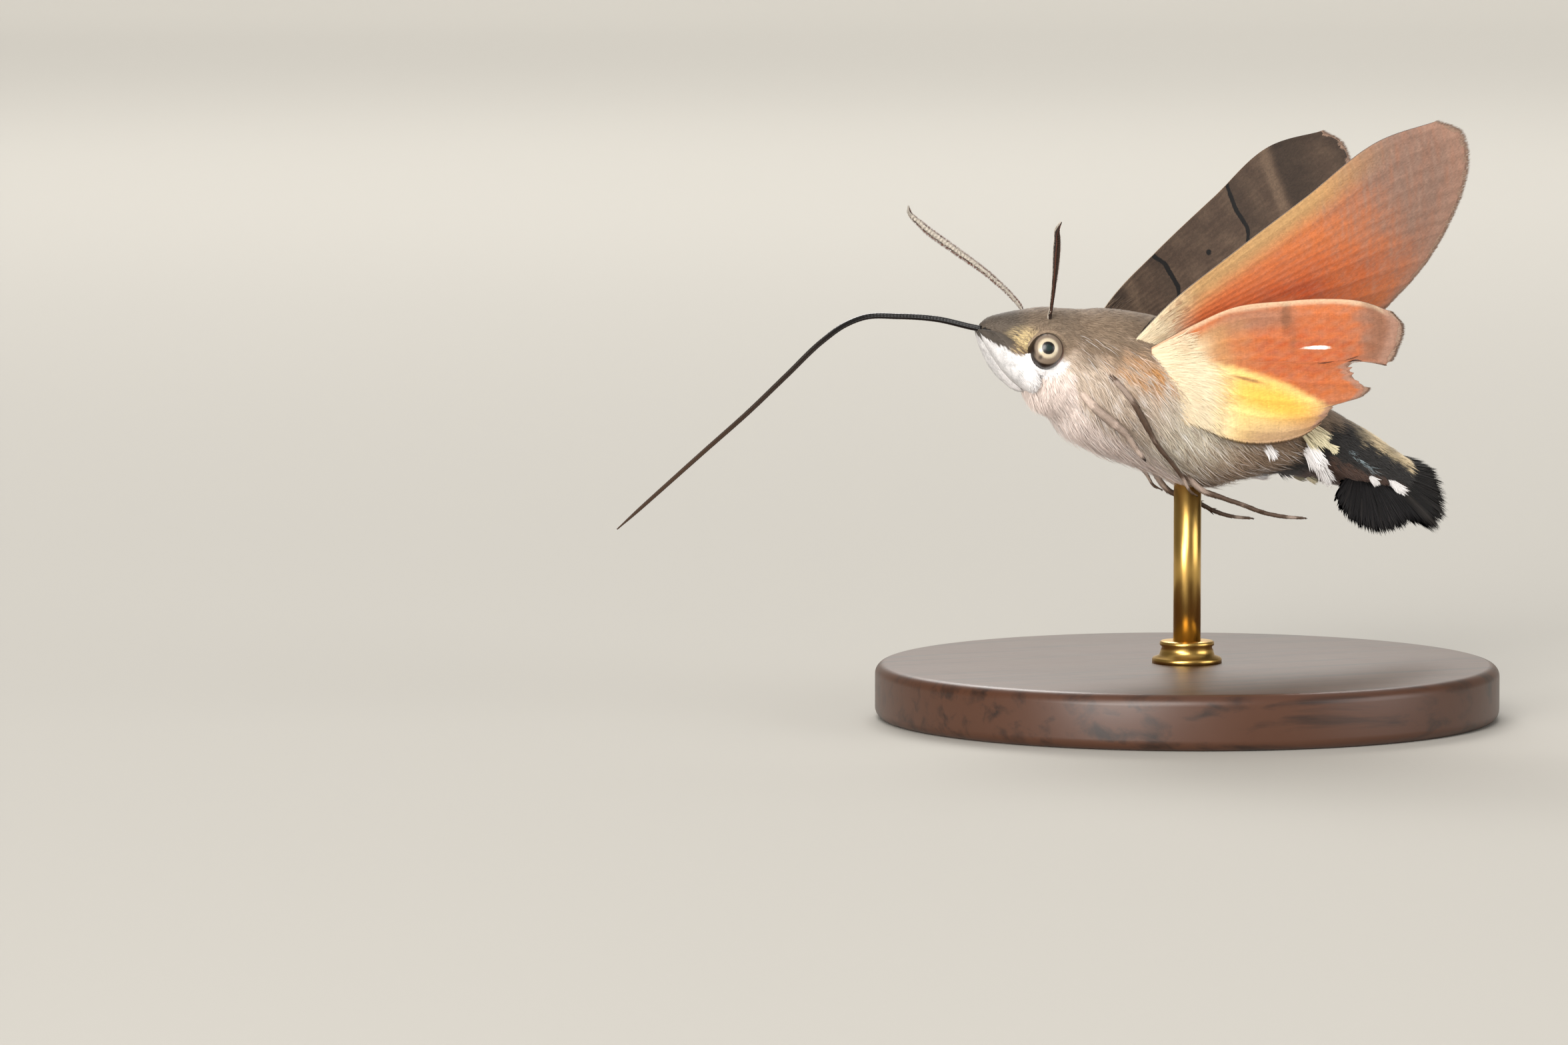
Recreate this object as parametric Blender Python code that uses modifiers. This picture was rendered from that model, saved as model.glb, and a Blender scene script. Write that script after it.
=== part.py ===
"""Hummingbird hawk moth, life size, hovering on a plain display stand.

Lengths below are millimetres and angles are degrees. The moth is laid out in its own
frame: "along" runs from head (negative) to tail (positive), "across" is negative on
the moth's left side, and "up" is away from the belly. An empty pitches that frame
nose-up and lifts it over the stand, whose underside is the floor, at Z = 0.
"""
import math
import random

import bmesh
import bpy
import numpy as np
from mathutils import Matrix, Vector

MM = 0.001
GAP = 0.3

# Pose and stand
BODY_PITCH = 17.0
BODY_CENTRE = (-5.0, 0.0, 18.7)
BASE_RADIUS = 17.0
BASE_HEIGHT = 3.0
BASE_EDGE = 0.6
BASE_SIDES = 48
ROD_RADIUS = 0.75
COLLAR_RADIUS = 1.9
COLLAR_HEIGHT = 0.9

# Body: (along, top, bottom, half width) of each station, coat included
BODY_STATIONS = (
    (-8.1, 0.95, 0.45, 0.35),
    (-7.7, 1.35, 0.30, 0.75),
    (-6.8, 1.85, -0.10, 1.35),
    (-5.8, 2.30, -0.75, 1.90),
    (-4.8, 2.70, -1.50, 2.25),
    (-3.8, 2.92, -2.60, 2.60),
    (-2.6, 3.20, -3.05, 3.05),
    (-1.5, 3.55, -3.60, 3.40),
    (0.3, 3.90, -4.00, 3.70),
    (2.0, 4.05, -4.15, 3.75),
    (3.9, 4.05, -4.25, 3.70),
    (5.4, 3.95, -4.38, 3.70),
    (6.8, 3.70, -4.20, 3.80),
    (8.3, 3.35, -3.60, 3.85),
    (9.8, 3.00, -2.95, 3.80),
    (11.4, 2.50, -2.35, 3.70),
    (13.6, 2.00, -2.05, 3.30),
    (16.0, 1.50, -1.90, 2.60),
    (18.6, 0.87, -1.80, 1.70),
)
SNOUT = -8.1
NECK = -3.8
WAIST = 4.1
TAIL_JOINT = 14.5
BODY_END = 18.5
BODY_SIDES = 24
BODY_STEP = 0.8
SHARP_EDGE = 40.0

# Tail brush: the line of its vanes' roots and the line of their tips, both from the low
# left lobe round the back to the raised right lobe, as (along, across, up)
BRUSH_ROOTS = (
    (15.3, -1.35, -1.15),
    (16.6, -1.30, -1.05),
    (17.7, -1.00, -0.80),
    (18.0, -0.20, -0.50),
    (17.8, 0.80, -0.20),
    (16.9, 1.50, 0.00),
)
BRUSH_TIPS = (
    (13.9, -2.95, -3.00),
    (14.9, -3.35, -3.90),
    (16.6, -3.55, -4.20),
    (18.6, -3.10, -3.55),
    (20.7, -2.20, -3.05),
    (22.4, -0.60, -2.70),
    (23.5, 1.20, -1.75),
    (24.0, 2.90, -0.35),
    (23.7, 4.10, 0.80),
    (22.4, 4.70, 1.10),
    (20.6, 4.80, 0.85),
)
# Each tier of vanes: how many, where it starts and ends along the two lines, its reach to the
# line of tips, and how far its vanes are raised over the tier below
BRUSH_TIERS = (
    (20, 0.0, 1.0, 1.0, 0.0),
    (7, 0.30, 0.92, 0.72, 0.45),
)
VANE_STAGGER = 0.10
VANE_BEND = -0.04
VANE_WIDTH = 1.6
VANE_THICKNESS = 0.5
# Half widths of a vane or lock as shares of its full half width, from root to blunt tip
LOCK_PROFILE = (0.60, 0.86, 1.0, 0.93, 0.45)
LOCK_THINNING = 0.55

# Side tufts on both flanks: (along, angle round the body, length, droop below the flank)
TUFTS = (
    (10.1, -50, 1.4, 0.25),
    (10.9, -20, 2.0, 0.35),
    (12.0, -12, 2.7, 0.50),
    (12.2, -46, 1.5, 0.15),
    (15.2, -30, 1.9, 0.25),
    (16.2, -15, 1.9, 0.15),
    (17.3, -25, 1.9, 0.10),
)
TUFT_LOCKS = 3
TUFT_SPREAD = 0.42
TUFT_WIDTH = 0.95
TUFT_ROOT_DEPTH = 0.55
TUFT_TIP_LIFT = 0.35
TUFT_SPLAY = 0.12

# Head parts
EYE_CENTRE = (-4.85, 1.72, 0.30)
EYE_RADIUS = 1.0
EYE_SEGMENTS = (18, 10)
PALP_STATIONS = (
    (-8.30, 0.55, 0.30, 0.18),
    (-8.0, 0.65, 0.00, 0.38),
    (-7.4, 0.70, -0.60, 0.62),
    (-6.4, 0.50, -1.42, 0.85),
    (-5.5, 0.00, -1.88, 0.95),
    (-4.95, -0.60, -2.02, 0.80),
    (-4.5, -1.10, -1.85, 0.45),
)
PALP_GAP = 0.15
PALP_SIDES = 12
TONGUE_RADIUS = 0.25
# Tongue route in the moth's middle plane: (along, up)
TONGUE_ROUTE = (
    (-8.45, 0.50),
    (-10.8, 0.33),
    (-13.0, -0.13),
    (-15.0, -0.75),
    (-16.0, -1.48),
    (-16.9, -2.52),
    (-18.45, -4.90),
    (-20.0, -7.30),
    (-21.9, -10.0),
    (-25.6, -15.3),
)
TONGUE_BEND = (-14.2, -17.4)
TONGUE_SAMPLES = 401

# Antenna route on the left side: (along, across, up), then its girth along the length
ANTENNA_ROUTE = (
    (-4.75, -1.05, 1.70),
    (-5.30, -1.95, 2.55),
    (-6.45, -3.80, 3.70),
    (-7.85, -6.10, 4.70),
    (-9.20, -8.25, 5.65),
    (-9.70, -9.00, 6.15),
    (-9.72, -9.25, 6.50),
)
ANTENNA_GIRTH = (
    (0.0, 0.30),
    (0.12, 0.25),
    (0.35, 0.27),
    (0.75, 0.34),
    (0.93, 0.28),
    (1.0, 0.12),
)
ANTENNA_FLATNESS = 0.75

# Wings: the hinge, the plane's two directions, outline points (span, chord) and veins
WING_THICKNESS = 0.5
VEIN_HEIGHT = 0.17
VEIN_HALF_WIDTH = 0.17
FOREWING = {
    "hinge": (0.34, -2.90, 2.72),
    "span": (0.6015, -0.3111, 0.7358),
    "chord": (0.7988, 0.2296, -0.5560),
    "costa": ((-0.8, -0.2), (1.6, -0.9), (5.9, -1.5), (11.0, -2.0), (16.0, -2.4), (19.4, -1.3)),
    "margin": ((19.4, -1.3), (20.25, 0.0), (20.0, 1.3), (19.0, 2.8), (17.6, 4.05), (14.7, 5.95),
               (11.8, 7.1)),
    "inner": ((-0.6, 1.9), (2.5, 3.0), (6.0, 4.6), (9.0, 6.2), (11.8, 7.1)),
    "camber": 0.45,
    "tip_bend": 0.7,
    # Each vein: its place across the wing at the root, at the fork and at the margin, and
    # the share of the length at which it starts to stand up
    "veins": (
        (0.07, 0.05, 0.03, 0.0),
        (0.22, 0.16, 0.12, 0.0),
        (0.34, 0.29, 0.27, 0.50),
        (0.45, 0.42, 0.42, 0.52),
        (0.56, 0.54, 0.56, 0.50),
        (0.68, 0.66, 0.70, 0.42),
        (0.79, 0.78, 0.83, 0.0),
        (0.92, 0.93, 0.95, 0.0),
    ),
    "fork": 0.5,
}
HINDWING = {
    "hinge": (1.25, -3.55, 2.45),
    "span": (0.8560, -0.3926, 0.3363),
    "chord": (0.4144, 0.1321, -0.9005),
    "costa": ((-0.9, 0.1), (1.5, -1.0), (3.6, -1.75), (6.5, -1.9), (8.6, -1.85), (10.7, -1.5),
              (12.2, -0.8)),
    "margin": ((12.2, -0.8), (12.75, 0.0), (12.35, 1.3), (11.7, 2.3), (10.9, 3.2), (9.7, 4.1),
               (8.35, 4.9)),
    "inner": ((-0.9, 3.3), (1.3, 4.5), (3.6, 5.6), (5.3, 5.8), (7.2, 5.5), (8.35, 4.9)),
    "camber": 0.35,
    "tip_bend": 0.3,
    "veins": (
        (0.10, 0.09, 0.10, 0.0),
        (0.25, 0.23, 0.27, 0.0),
        (0.38, 0.37, 0.41, 0.45),
        (0.51, 0.51, 0.56, 0.45),
        (0.64, 0.65, 0.70, 0.40),
        (0.77, 0.78, 0.83, 0.0),
        (0.90, 0.91, 0.93, 0.0),
    ),
    "fork": 0.45,
}
WING_STATIONS = 13
# The left hindwing's torn bay: where it starts and ends along the margin, and its depth
TORN_BAY = (0.36, 0.62, 0.17)
# The right forewing is swept back and raised this much more than the left
RIGHT_SWEEP = 6.0
RIGHT_RAISE = 5.0

# Legs: routes on the left side as (along, angle round the body, stand-off) where they lie
# on the breast, then free points (along, across, up)
LEG_SIDES = 8
FORELEG = {
    "on_body": ((-3.2, -24, -0.8), (-2.4, -29, 0.1), (-1.6, -32, 0.62), (-0.5, -36, 0.62),
                (0.6, -41, 0.62)),
    "free": ((1.5, -2.95, -3.50), (2.2, -2.80, -3.85)),
    "girth": ((0.0, 0.30), (0.45, 0.36), (0.75, 0.27), (1.0, 0.16)),
}
MIDLEG = {
    "on_body": ((-2.6, 6, -0.8), (-1.9, 3, 0.2), (-1.1, -4, 0.62), (0.1, -15, 0.62),
                (1.3, -28, 0.62), (2.6, -41, 0.62), (3.9, -50, 0.62), (5.0, -58, 0.66)),
    "free": ((5.7, -2.15, -4.70), (6.2, -2.05, -4.80)),
    "girth": ((0.0, 0.30), (0.5, 0.30), (0.8, 0.26), (1.0, 0.16)),
}
HINDLEG_LEFT = {
    "on_body": ((4.3, -66, -0.9), (5.3, -64, -0.1)),
    "free": ((6.5, -1.75, -4.40), (7.8, -1.85, -4.50), (9.1, -1.90, -4.55), (10.5, -1.90, -4.62),
             (11.7, -1.85, -4.52), (13.2, -1.75, -4.23)),
    "girth": ((0.0, 0.30), (0.35, 0.28), (0.7, 0.26), (1.0, 0.15)),
}
HINDLEG_RIGHT = {
    "on_body": ((4.0, -68, -0.9), (4.9, -66, -0.1)),
    "free": ((6.2, -1.50, -4.72), (7.9, -1.55, -4.85), (9.4, -1.60, -5.10), (10.3, -1.60, -5.12),
             (11.8, -1.50, -4.88)),
    "girth": ((0.0, 0.30), (0.35, 0.28), (0.7, 0.26), (1.0, 0.15)),
}


def smooth_value(knots, values, x):
    """Return the value at x on a curve through the knots that doesn't overshoot."""
    knots = np.asarray(knots, float)
    values = np.asarray(values, float)
    steps = np.diff(knots)
    slopes = np.diff(values) / steps
    tangents = np.empty(len(knots))
    tangents[0] = slopes[0]
    tangents[-1] = slopes[-1]
    for i in range(1, len(knots) - 1):
        same_way = slopes[i - 1] * slopes[i] > 0.0
        tangents[i] = 2.0 * slopes[i - 1] * slopes[i] / (slopes[i - 1] + slopes[i]) if same_way else 0.0
    x = min(max(x, knots[0]), knots[-1])
    i = min(int(np.searchsorted(knots, x, side="right")) - 1, len(steps) - 1)
    t = (x - knots[i]) / steps[i]
    return float(
        values[i] * (2 * t**3 - 3 * t**2 + 1)
        + tangents[i] * steps[i] * (t**3 - 2 * t**2 + t)
        + values[i + 1] * (3 * t**2 - 2 * t**3)
        + tangents[i + 1] * steps[i] * (t**3 - t**2)
    )


def smooth_path(points, share):
    """Return the point at a share of the length of a smooth curve through the points."""
    points = [np.asarray(p, float) for p in points]
    reach = [0.0]
    for a, b in zip(points, points[1:]):
        reach.append(reach[-1] + float(np.linalg.norm(b - a)))
    where = share * reach[-1]
    i = min(max(int(np.searchsorted(reach, where, side="right")) - 1, 0), len(points) - 2)
    t = (where - reach[i]) / (reach[i + 1] - reach[i])
    a, b = points[i], points[i + 1]
    before = points[i - 1] if i > 0 else a - (b - a)
    after = points[i + 2] if i + 2 < len(points) else b + (b - a)
    chord = reach[i + 1] - reach[i]
    back = float(np.linalg.norm(a - before))
    ahead = float(np.linalg.norm(after - b))
    slope_a = ((b - a) / chord * back + (a - before) / back * chord) / (chord + back) * chord
    slope_b = ((b - a) / chord * ahead + (after - b) / ahead * chord) / (chord + ahead) * chord
    return (
        a * (2 * t**3 - 3 * t**2 + 1)
        + slope_a * (t**3 - 2 * t**2 + t)
        + b * (3 * t**2 - 2 * t**3)
        + slope_b * (t**3 - t**2)
    )


def station_at(along):
    """Return (top, bottom, half width) of the body's outline at a place along it."""
    knots = [row[0] for row in BODY_STATIONS]
    return tuple(smooth_value(knots, [row[i] for row in BODY_STATIONS], along) for i in (1, 2, 3))


def body_point(along, angle, lift=0.0, side=-1):
    """Return a point on the coat; angle 0 is the flank, 90 the back and -90 the belly."""
    top, bottom, half = station_at(along)
    turn = math.radians(angle)
    return (
        along,
        side * (half + lift) * math.cos(turn),
        (top + bottom) / 2 + ((top - bottom) / 2 + lift) * math.sin(turn),
    )


def new_collection(name):
    """Return a new collection linked under the scene."""
    group = bpy.data.collections.new(name)
    bpy.context.scene.collection.children.link(group)
    return group


def lock_shape(root, tip, face, width, thickness, bend=0.0):
    """Return one flat, tapered lock that bends away from face by a share of its length."""
    root, tip = Vector(root), Vector(tip)
    run = tip - root
    side = run.cross(Vector(face)).normalized()
    out = side.cross(run).normalized()
    rings = []
    for i, share in enumerate(LOCK_PROFILE):
        t = i / (len(LOCK_PROFILE) - 1)
        centre = root + run * t - out * (bend * run.length * 4 * t * (1 - t))
        half = width / 2 * share
        deep = thickness / 2 * (1.0 - LOCK_THINNING * t**2)
        rings.append([tuple(centre + side * half), tuple(centre + out * deep),
                      tuple(centre - side * half), tuple(centre - out * deep)])
    return join_rings(rings)


def fuse(body, shapes, group):
    """Fuse closed shapes into a body with one union and keep the whole that they make."""
    pieces = new_collection("pieces")
    for i, shape in enumerate(shapes):
        bmesh.ops.triangulate(shape, faces=shape.faces[:])
        add_object("piece_" + str(i), shape, pieces)
    union = body.modifiers.new("union", "BOOLEAN")
    union.operation = "UNION"
    union.operand_type = "COLLECTION"
    union.collection = pieces
    apply_modifiers(body)
    for piece in list(pieces.objects):
        bpy.data.objects.remove(piece)
    bpy.data.collections.remove(pieces)
    keep_largest(body)


def add_object(name, shape, group):
    """Turn a bmesh laid out in millimetres into an object whose faces point out."""
    bmesh.ops.recalc_face_normals(shape, faces=shape.faces[:])
    bmesh.ops.scale(shape, vec=(MM, MM, MM), verts=shape.verts[:])
    mesh = bpy.data.meshes.new(name)
    shape.to_mesh(mesh)
    shape.free()
    item = bpy.data.objects.new(name, mesh)
    group.objects.link(item)
    return item


def join_rings(rings):
    """Return a bmesh with quads between rings of equal count and flat ends."""
    shape = bmesh.new()
    rows = [[shape.verts.new(point) for point in ring] for ring in rings]
    count = len(rows[0])
    for low, high in zip(rows, rows[1:]):
        for i in range(count):
            j = (i + 1) % count
            shape.faces.new((low[i], low[j], high[j], high[i]))
    shape.faces.new(rows[0][::-1])
    shape.faces.new(rows[-1])
    return shape


def section_ring(along, grow=0.0):
    """Return one ring of the body, square to its length."""
    step = 360 / BODY_SIDES
    return [body_point(along, (i + 0.5) * step, grow) for i in range(BODY_SIDES)]


def body_loft(start, end, grow=0.0, step=BODY_STEP):
    """Return the loft of the body's run from start to end."""
    count = max(2, round((end - start) / step) + 1)
    return join_rings([section_ring(place, grow) for place in np.linspace(start, end, count)])


def tube_frames(path):
    """Return a pair of unit vectors square to the path at each of its points."""
    path = [Vector(p) for p in path]
    frames = []
    across = None
    for i, point in enumerate(path):
        ahead = path[min(i + 1, len(path) - 1)] - path[max(i - 1, 0)]
        ahead.normalize()
        if across is None:
            across = ahead.cross(Vector((0.0, 0.31, 0.95))).normalized()
        across = (across - ahead * across.dot(ahead)).normalized()
        frames.append((across.copy(), ahead.cross(across).normalized()))
    return frames


def tube(route, rings, girth, sides=LEG_SIDES, flatness=1.0):
    """Return a tapered tube whose radius follows girth, pairs of (share, radius)."""
    shares = [i / (rings - 1) for i in range(rings)]
    path = [smooth_path(route, share) for share in shares]
    shares_known = [pair[0] for pair in girth]
    radii = [pair[1] for pair in girth]
    loops = []
    for share, point, (across, upward) in zip(shares, path, tube_frames(path)):
        radius = smooth_value(shares_known, radii, share)
        loop = []
        for i in range(sides):
            turn = 2 * math.pi * i / sides
            reach = across * (radius * math.cos(turn)) + upward * (radius * flatness * math.sin(turn))
            loop.append(tuple(Vector(point) + reach))
        loops.append(loop)
    return join_rings(loops)


def apply_modifiers(item):
    """Replace an object's mesh with what its modifiers make of it."""
    graph = bpy.context.evaluated_depsgraph_get()
    mesh = bpy.data.meshes.new_from_object(item.evaluated_get(graph))
    item.modifiers.clear()
    item.data = mesh


def keep_largest(item):
    """Keep only the closed surface that spreads the furthest."""
    shape = bmesh.new()
    shape.from_mesh(item.data)
    left = set(shape.faces)
    shells = []
    while left:
        stack = [left.pop()]
        shell = list(stack)
        while stack:
            for edge in stack.pop().edges:
                for face in edge.link_faces:
                    if face in left:
                        left.remove(face)
                        stack.append(face)
                        shell.append(face)
        shells.append(shell)
    sizes = []
    for shell in shells:
        points = [vert.co for face in shell for vert in face.verts]
        spread = Vector([max(p[i] for p in points) - min(p[i] for p in points) for i in range(3)])
        sizes.append(spread.length)
    best = shells[sizes.index(max(sizes))]
    keep = set(best)
    bmesh.ops.delete(shape, geom=[f for f in shape.faces if f not in keep], context="FACES")
    shape.to_mesh(item.data)
    shape.free()


def cut_clear(item, cutters):
    """Cut a piece clear of what it grows from, at the gap that the cutters carry."""
    for cutter in cutters:
        modifier = item.modifiers.new("clear", "BOOLEAN")
        modifier.operation = "DIFFERENCE"
        modifier.object = cutter
    apply_modifiers(item)
    keep_largest(item)


def make_material(name, colour, roughness, metallic=0.0):
    """Return a Principled material."""
    material = bpy.data.materials.new(name)
    material.use_nodes = True
    shader = material.node_tree.nodes["Principled BSDF"]
    shader.inputs["Base Color"].default_value = (*colour, 1.0)
    shader.inputs["Roughness"].default_value = roughness
    shader.inputs["Metallic"].default_value = metallic
    material.diffuse_color = (*colour, 1.0)
    return material


def finish(item, material, moth=None):
    """Give a piece its material, soft shading and place under the moth's empty."""
    item.data.materials.clear()
    item.data.materials.append(material)
    item.data.shade_smooth()
    item.data.set_sharp_from_angle(angle=math.radians(SHARP_EDGE))
    if moth is not None:
        item.parent = moth


def hide_cutter(item):
    """Show a cutter as wire and keep it out of renders."""
    item.hide_render = True
    item.display_type = "WIRE"


def build_cutters(group):
    """Make the grown copies of the body and eyes that others are cut clear of."""
    shape = body_loft(SNOUT, BODY_STATIONS[-1][0], grow=GAP, step=0.6)
    body = add_object("body_cutter", shape, group)
    eyes = []
    for side in (-1, 1):
        shape = bmesh.new()
        bmesh.ops.create_uvsphere(
            shape, u_segments=EYE_SEGMENTS[0], v_segments=EYE_SEGMENTS[1], radius=EYE_RADIUS + GAP
        )
        along, across, up = EYE_CENTRE
        bmesh.ops.translate(shape, vec=(along, side * across, up), verts=shape.verts[:])
        eyes.append(add_object("eye_cutter", shape, group))
    for item in (body, *eyes):
        hide_cutter(item)
    return body, eyes


def build_head(group, eye_cutters):
    """Make the head with a socket for each eye."""
    head = add_object("head", body_loft(SNOUT, NECK - GAP / 2, step=0.6), group)
    cut_clear(head, eye_cutters)
    return head


def build_palps(group, body_cutter, eye_cutters):
    """Make the two scaled palps that lie side by side under the snout."""
    palps = []
    for name, side in (("palp_left", -1), ("palp_right", 1)):
        rings = []
        for along, top, bottom, half in PALP_STATIONS:
            ring = []
            for i in range(PALP_SIDES):
                turn = 2 * math.pi * (i + 0.5) / PALP_SIDES
                across = side * (PALP_GAP + half + half * math.cos(turn))
                ring.append((along, across, (top + bottom) / 2 + (top - bottom) / 2 * math.sin(turn)))
            rings.append(ring)
        palp = add_object(name, join_rings(rings), group)
        cut_clear(palp, [body_cutter, *eye_cutters])
        palps.append(palp)
    return palps


def build_eyes(group):
    """Make the two round eyes."""
    eyes = []
    for name, side in (("eye_left", -1), ("eye_right", 1)):
        shape = bmesh.new()
        bmesh.ops.create_uvsphere(
            shape, u_segments=EYE_SEGMENTS[0], v_segments=EYE_SEGMENTS[1], radius=EYE_RADIUS
        )
        along, across, up = EYE_CENTRE
        turn = Matrix.Rotation(math.pi / 2, 3, "X")
        bmesh.ops.rotate(shape, cent=(0, 0, 0), matrix=turn, verts=shape.verts[:])
        bmesh.ops.translate(shape, vec=(along, side * across, up), verts=shape.verts[:])
        eyes.append(add_object(name, shape, group))
    return eyes


def build_tongue(group, body_cutter):
    """Make the long tongue in three lengths: base, bend and shaft."""
    route = [(along, 0.0, up) for along, up in TONGUE_ROUTE]
    shares = np.linspace(0.0, 1.0, TONGUE_SAMPLES)
    path = [smooth_path(route, share) for share in shares]
    ends = [shares[int(np.argmin([abs(point[0] - place) for point in path]))] for place in TONGUE_BEND]
    length = sum(float(np.linalg.norm(b - a)) for a, b in zip(path, path[1:]))
    half_gap = GAP / 2 / length
    runs = (
        ("proboscis_base", 0.0, ends[0] - half_gap, 6),
        ("proboscis_bend", ends[0] + half_gap, ends[1] - half_gap, 9),
        ("proboscis_shaft", ends[1] + half_gap, 1.0, 9),
    )
    lengths = []
    for name, start, end, rings in runs:
        points = [smooth_path(route, share) for share in np.linspace(start, end, rings)]
        tip = 0.5 if end == 1.0 else 1.0
        girth = ((0.0, TONGUE_RADIUS), (0.85, TONGUE_RADIUS), (1.0, TONGUE_RADIUS * tip))
        piece = add_object(name, tube(points, rings * 2 - 1, girth, sides=8), group)
        lengths.append(piece)
    cut_clear(lengths[0], [body_cutter])
    return lengths


def build_antennae(group, body_cutter):
    """Make the clubbed antennae with their small hooked tips."""
    antennae = []
    for name, side in (("antenna_left", -1), ("antenna_right", 1)):
        route = [(along, -side * across, up) for along, across, up in ANTENNA_ROUTE]
        shape = tube(route, 15, ANTENNA_GIRTH, sides=8, flatness=ANTENNA_FLATNESS)
        antenna = add_object(name, shape, group)
        cut_clear(antenna, [body_cutter])
        antennae.append(antenna)
    return antennae


def build_thorax(group):
    """Make the thorax between neck and waist."""
    return add_object("thorax", body_loft(NECK + GAP / 2, WAIST - GAP / 2), group)


def tuft_shapes(start, end):
    """Return the locks of the side tufts that grow between two places along the body."""
    shapes = []
    for along, angle, length, droop in TUFTS:
        if not start < along < end:
            continue
        for side in (-1, 1):
            root = Vector(body_point(along, angle, -TUFT_ROOT_DEPTH, side))
            skin = Vector(body_point(along, angle, 0.0, side))
            out = (skin - root).normalized()
            for k in range(TUFT_LOCKS):
                fan = (k / (TUFT_LOCKS - 1) - 0.5) * 2 * TUFT_SPREAD
                lie = Vector((1.0, side * TUFT_SPLAY, fan - droop)).normalized()
                tip = skin + lie * length + out * TUFT_TIP_LIFT
                spread = Vector((0.0, 0.0, TUFT_WIDTH * fan / 3))
                shapes.append(lock_shape(root + spread, tip, out, TUFT_WIDTH, VANE_THICKNESS))
    return shapes


def build_abdomen(group):
    """Make the abdomen from the waist to the tail joint, with its side tufts."""
    start, end = WAIST + GAP / 2, TAIL_JOINT - GAP / 2
    abdomen = add_object("abdomen", body_loft(start, end), group)
    fuse(abdomen, tuft_shapes(start, end - 1.0), group)
    return abdomen


def brush_shapes():
    """Return the vanes of the tail brush, a full tier and a shorter one over its middle."""
    shapes = []
    for count, first, last, reach, rise in BRUSH_TIERS:
        for i in range(count):
            share = first + (last - first) * i / (count - 1)
            root = Vector(smooth_path(BRUSH_ROOTS, share))
            tip = Vector(smooth_path(BRUSH_TIPS, share))
            beside = Vector(smooth_path(BRUSH_TIPS, min(share + 0.02, 1.0)))
            beside -= Vector(smooth_path(BRUSH_TIPS, max(share - 0.02, 0.0)))
            face = beside.cross(tip - root).normalized()
            stagger = VANE_STAGGER if i % 2 else -VANE_STAGGER
            length = reach * (1.0 - random.uniform(0.0, 0.08))
            tip = root + (tip - root) * length + face * (rise + stagger)
            root = root + face * (rise * 0.6 + stagger * 0.5)
            shapes.append(lock_shape(root, tip, face, VANE_WIDTH, VANE_THICKNESS, VANE_BEND))
    return shapes


def build_tail(group):
    """Make the last rings of the abdomen with the tail brush that they carry."""
    start = TAIL_JOINT + GAP / 2
    tail = add_object("tail_fan", body_loft(start, BODY_END), group)
    fuse(tail, brush_shapes() + tuft_shapes(start + 0.5, BODY_END), group)
    return tail


def wing_outline(wing, u, v):
    """Return the flat place (span, chord) at u across the wing and v along it."""
    costa = smooth_path(wing["costa"], v)
    inner = smooth_path(wing["inner"], v)
    margin = smooth_path(wing["margin"], u)
    root_lead = np.asarray(wing["costa"][0])
    root_trail = np.asarray(wing["inner"][0])
    root = root_lead * (1 - u) + root_trail * u
    tip = np.asarray(wing["costa"][-1])
    corner = np.asarray(wing["inner"][-1])
    ruled = costa * (1 - u) + inner * u + root * (1 - v) + margin * v
    lead = root_lead * (1 - v) + tip * v
    trail = root_trail * (1 - v) + corner * v
    return ruled - (lead * (1 - u) + trail * u)


def wing_place(wing, u, v, rise, torn=False):
    """Return the point at (u, v), rise above the wing's middle surface."""
    if torn:
        start, end, depth = TORN_BAY
        if start < u < end:
            v = v * (1 - depth * math.sin(math.pi * (u - start) / (end - start)) ** 0.6)
    flat = wing_outline(wing, u, v)
    lift = wing["camber"] * math.sin(math.pi * min(max(u, 0.0), 1.0)) * math.sin(math.pi * min(v, 0.85) / 1.7)
    lift -= wing["tip_bend"] * v**3
    hinge, span, chord = (Vector(wing[key]) for key in ("hinge", "span", "chord"))
    inward = chord.cross(span).normalized()
    return hinge + span * flat[0] + chord * flat[1] + inward * (lift + rise)


def vein_place(vein, fork, v):
    """Return where a vein runs across the wing at v."""
    root, middle, margin, _ = vein
    if v < fork:
        return root + (middle - root) * v / fork
    return middle + (margin - middle) * (v - fork) / (1 - fork)


def wing_lines(wing, v):
    """Return (u, ridge height) of every grid line across the wing at v."""
    places = [vein_place(vein, wing["fork"], v) for vein in wing["veins"]]
    chord = float(np.linalg.norm(wing_outline(wing, 1.0, v) - wing_outline(wing, 0.0, v)))
    lines = [(0.0, 0.0)]
    for i, (place, vein) in enumerate(zip(places, wing["veins"])):
        nearest = min([abs(place - other) for j, other in enumerate(places) if j != i] + [place, 1 - place])
        half = min(VEIN_HALF_WIDTH / chord, 0.3 * nearest)
        stands = smooth_value((vein[3] - 0.08, vein[3] + 0.02), (0.0, 1.0), v) if vein[3] > 0 else 1.0
        fade = 1 - 0.6 * v
        lines += [(place - half, 0.0), (place, VEIN_HEIGHT * stands * fade), (place + half, 0.0)]
    lines.append((1.0, 0.0))
    return lines


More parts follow.
